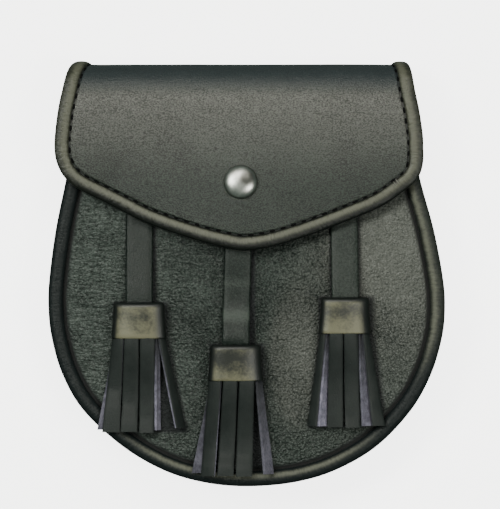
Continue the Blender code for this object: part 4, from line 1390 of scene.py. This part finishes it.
def strip_rings(tassel, strip):
    """Rings of one strip, gathered inside the cuff and straight down to its tip."""
    x = tassel.cuff_x * WIDTH / 2
    top = tassel.cuff_top * HEIGHT / 2 - STRAP_IN_CUFF - 4 * GAP
    middle = CUFF_THICKNESS / 2 + GAP
    sleeve = CUFF_LENGTH - STRAP_IN_CUFF - 4 * GAP
    length = sleeve + STRIP_LENGTH * strip.length
    samples = [0.0, 0.04, 0.2, 0.4, 0.6, 0.8, 0.96, 1.0]
    rings = []
    for down in spread(0.0, length, STRIP_STEP):
        free = max(0.0, (down - sleeve) / (length - sleeve))
        held = lerp(GATHERED, 1.0, min(1.0, down / sleeve)) * tassel.size
        fall = ease(free * STRIP_FALL)
        y = top - down
        ends = []
        for side, up, tip, tip_up in (
                (strip.left, strip.left_up, strip.tip_left, strip.tip_left_up),
                (strip.right, strip.right_up, strip.tip_right, strip.tip_right_up)):
            across = lerp(side * held, tip, free) * MILLIMETRE
            high = middle + up * MILLIMETRE * min(1.0, held / tassel.size)
            ends.append((across, lerp(high, GAP + tip_up * MILLIMETRE, fall)))
        left, right = ends
        run = math.dist(left, right)
        out = (-(right[1] - left[1]) / run, (right[0] - left[0]) / run)
        lift = max(border_rise(x + lerp(left[0], right[0], w), y) for w in (0.0, 0.5, 1.0))
        sway = swelling(down, strip.tip_left + tassel.cuff_x, STRIP_SWELL) * free
        outer, inner = [], []
        for w in samples:
            cup = lerp(CUP_AT_CUFF, CUP_AT_TIP, free) * w * (1 - w)
            px = x + lerp(left[0], right[0], w) + out[0] * cup + sway
            pz = lerp(left[1], right[1], w) + out[1] * cup + lift + sway
            thick = STRIP_LEATHER / 2 * (THIN_EDGE if w in (0.0, 1.0) else 1.0)
            outer.append(on_front(px + out[0] * thick, y, pz + out[1] * thick))
            inner.append(on_front(px - out[0] * thick, y, pz - out[1] * thick))
        rings.append(outer + inner[::-1])
    return rings


def build_fringe(tassel):
    """All strips of a tassel, grain outside, suede inside and on the edges."""
    whole = bmesh.new()
    layer = whole.verts.layers.float.new("pale")
    for strip in tassel.strips:
        rings = strip_rings(tassel, strip)
        rows = [[whole.verts.new(point) for point in ring] for ring in rings]
        # Suede painted in shade near the cuff, paler towards the tip
        for number, row in enumerate(rows):
            for vert in row:
                vert[layer] = strip.pale * ease(PAINTED_SHADE_RISE * number / len(rows) - PAINTED_SHADE_START)
        count = len(rings[0])
        made = []
        for a, b in zip(rows, rows[1:]):
            for i in range(count):
                n = (i + 1) % count
                face = whole.faces.new((a[i], b[i], b[n], a[n]))
                face.material_index = 0 if i < count // 2 - 1 else 1
                made.append(face)
        for end in (rows[0], rows[-1]):
            face = whole.faces.new(end)
            face.material_index = 1
            made.append(face)
        bmesh.ops.recalc_face_normals(whole, faces=made)
    add_piece("fringe_" + tassel.name, whole, ["strip", "suede"],
              ["tassel_fringe_" + tassel.name], 50.0)


def build_loop(name, x):
    """Loop on the back for the belt strap, with soft edges and stitched ends."""
    foot = HOLLOW - GAP - LOOP_LEATHER
    inside = LOOP_INSIDE / 2
    bend = inside + LOOP_RISE
    end = bend + LOOP_FLANGE
    right = [(0.0, 0.0), (inside * 0.7, 0.0), (inside, 0.0), (inside + LOOP_RISE * 0.35, foot * 0.22),
             (bend - LOOP_RISE * 0.2, foot * 0.85), (bend + 0.0005, foot), (end, foot)]
    middle = smooth_path([(-y, z) for y, z in right[:0:-1]] + right, LOOP_STEP)
    section = band_section(LOOP_WIDTH, LOOP_LEATHER, LOOP_SOFT, (0.0,))
    rings = []
    for number, (y, z) in enumerate(middle):
        in_y, in_z = inward(middle, number)
        rings.append([(x + px, LOOP_Y + y + in_y * pz, max(0.0, z + in_z * pz)) for px, pz in section])
    bm = skin_mesh(rings)
    add_piece(name + "_band", bm, ["strap"], [name])
    sewn = LOOP_WIDTH / 2 - LOOP_STITCH_SIDE
    for label, side in (("low", -1), ("high", 1)):
        y = LOOP_Y + side * (end - LOOP_FLANGE * 0.42)
        line = [(px, y, foot + LOOP_STITCH_OUT) for px in spread(x - sewn, x + sewn, STITCH_STEP)]
        add_stitches(name + "_stitches_" + label, line, LOOP_STITCH_PITCH,
                     STITCH_LENGTH, LOOP_STITCH_RADIUS)


def build_stud():
    """Domed snap cap with a rolled rim, its post and its socket."""
    x, along = FLAP_SHIFT + SNAP_X, SNAP_UP
    near = 0.002
    origin = Vector(place_flap(x, along, HALF_FLAP))
    right = (Vector(place_flap(x + near, along, HALF_FLAP)) - origin).normalized()
    up = (Vector(place_flap(x, along + near, HALF_FLAP)) - origin).normalized()
    out = right.cross(up).normalized()
    up = out.cross(right).normalized()
    under = -FLAP_LEATHER - GAP
    profile = [(0.0, CAP_HEIGHT + GAP)]
    for i in range(1, CAP_STEPS + 1):
        angle = math.pi / 2 * i / CAP_STEPS
        rise = GAP + CAP_RIM + (CAP_HEIGHT - CAP_RIM) * math.cos(angle) ** 0.9
        profile.append((CAP_RADIUS * 0.985 * math.sin(angle), rise))
    profile += [(CAP_RADIUS, GAP + CAP_RIM * 0.7), (CAP_RADIUS, GAP + CAP_RIM * 0.3),
                (CAP_RADIUS * 0.985, GAP), (POST_RADIUS, GAP), (POST_RADIUS, under),
                (SOCKET_RADIUS * 0.97, under), (SOCKET_RADIUS, under - SOCKET_THICKNESS / 3),
                (SOCKET_RADIUS, under - SOCKET_THICKNESS * 0.7),
                (SOCKET_RADIUS * 0.95, under - SOCKET_THICKNESS), (0.0, under - SOCKET_THICKNESS)]
    bm = bmesh.new()
    rows = []
    for radius, rise in profile:
        row = []
        for i in range(CAP_POINTS if radius else 1):
            angle = 2 * math.pi * i / CAP_POINTS
            row.append(bm.verts.new(origin + right * radius * math.cos(angle)
                                    + up * radius * math.sin(angle) + out * rise))
        rows.append(row)
    for a, b in zip(rows, rows[1:]):
        for i in range(CAP_POINTS):
            n = (i + 1) % CAP_POINTS
            corners = (a[i % len(a)], b[i % len(b)], b[n % len(b)], a[n % len(a)])
            bm.faces.new(list(dict.fromkeys(corners)))
    bmesh.ops.recalc_face_normals(bm, faces=bm.faces[:])
    add_piece("snap_cap", bm, ["metal"], ["stud_cap"], 40.0)


def build_pouch():
    """All pieces of the pouch."""
    build_back_panel()
    build_gusset()
    build_front_panel()
    build_front_binding()
    build_flap()
    build_flap_binding()
    build_stitches()
    build_stud()
    for tassel in TASSELS:
        build_strap(tassel)
        build_cuff(tassel)
        build_fringe(tassel)
    build_loop("strap_loop_left", -LOOP_X)
    build_loop("strap_loop_right", LOOP_X)
    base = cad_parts["snap_base"]
    base = bpy.data.objects[base] if isinstance(base, str) else base
    base.data.materials.clear()
    base.data.materials.append(FINISHES["metal"])


# Camera and studio: the picture is 500 pixels wide, and its middle is right of and
# above the pouch's
PIXEL = 0.000443
VIEW_WIDTH = 500 * PIXEL
VIEW_X = 2.3 * PIXEL
VIEW_Y = 20.0 * PIXEL
VIEW_LEVEL = 0.027
CAMERA_AWAY = 1.70
SENSOR = 36.0
FLOOR_DROP = 0.0002
WORLD_COLOUR = (0.74, 1.0, 0.84)
WORLD_STRENGTH = 0.16


def build_camera():
    """Camera straight above the pouch, as the photograph was taken."""
    data = bpy.data.cameras.new("camera")
    data.sensor_fit = "HORIZONTAL"
    data.sensor_width = SENSOR
    data.lens = SENSOR * CAMERA_AWAY / VIEW_WIDTH
    data.clip_start = 0.01
    camera = bpy.data.objects.new("camera", data)
    camera.location = (VIEW_X, VIEW_Y, VIEW_LEVEL + CAMERA_AWAY)
    bpy.context.scene.collection.objects.link(camera)
    bpy.context.scene.camera = camera


def add_light(name, place, size, power, colour):
    """A soft light that faces the pouch."""
    data = bpy.data.lights.new(name, "AREA")
    data.shape = "RECTANGLE"
    data.size, data.size_y = size
    data.energy = power
    data.color = colour
    light = bpy.data.objects.new(name, data)
    light.location = place
    away = Vector(place)
    light.rotation_euler = away.to_track_quat("Z", "Y").to_euler()
    bpy.context.scene.collection.objects.link(light)


def build_studio():
    """Plain pale floor and soft light."""
    bm = bmesh.new()
    bmesh.ops.create_grid(bm, x_segments=1, y_segments=1, size=2.5)
    mesh = bpy.data.meshes.new("floor")
    bm.to_mesh(mesh)
    bm.free()
    plain = Finish("floor")
    shade = plain.noise(plain.here(), 3.0, 2.0)
    plain.set(Base_Color=plain.mix(shade, (0.86, 0.86, 0.86), (0.88, 0.88, 0.88)), Roughness=0.9)
    plain.set(Emission_Color=(1.0, 1.0, 1.0), Emission_Strength=4.0)
    mesh.materials.append(plain.material)
    floor = bpy.data.objects.new("floor", mesh)
    floor.location = (0.0, 0.0, -FLOOR_DROP)
    floor.visible_glossy = False
    floor.visible_diffuse = False
    bpy.context.scene.collection.objects.link(floor)
    world = bpy.data.worlds.new("studio")
    world.use_nodes = True
    background = world.node_tree.nodes["Background"]
    background.inputs["Color"].default_value = (*WORLD_COLOUR, 1.0)
    background.inputs["Strength"].default_value = WORLD_STRENGTH
    bpy.context.scene.world = world
    add_light("top_softbox", (-0.10, 1.15, 1.9), (1.9, 0.60), 29.0, (1.0, 0.98, 0.90))
    add_light("right_softbox", (0.95, -0.30, 1.9), (0.6, 0.6), 17.0, (1.0, 1.0, 0.92))
    add_light("left_key", (-0.95, 0.45, 1.60), (0.5, 0.5), 18.0, (0.96, 1.0, 0.92))


build_camera()
build_pouch()
build_studio()
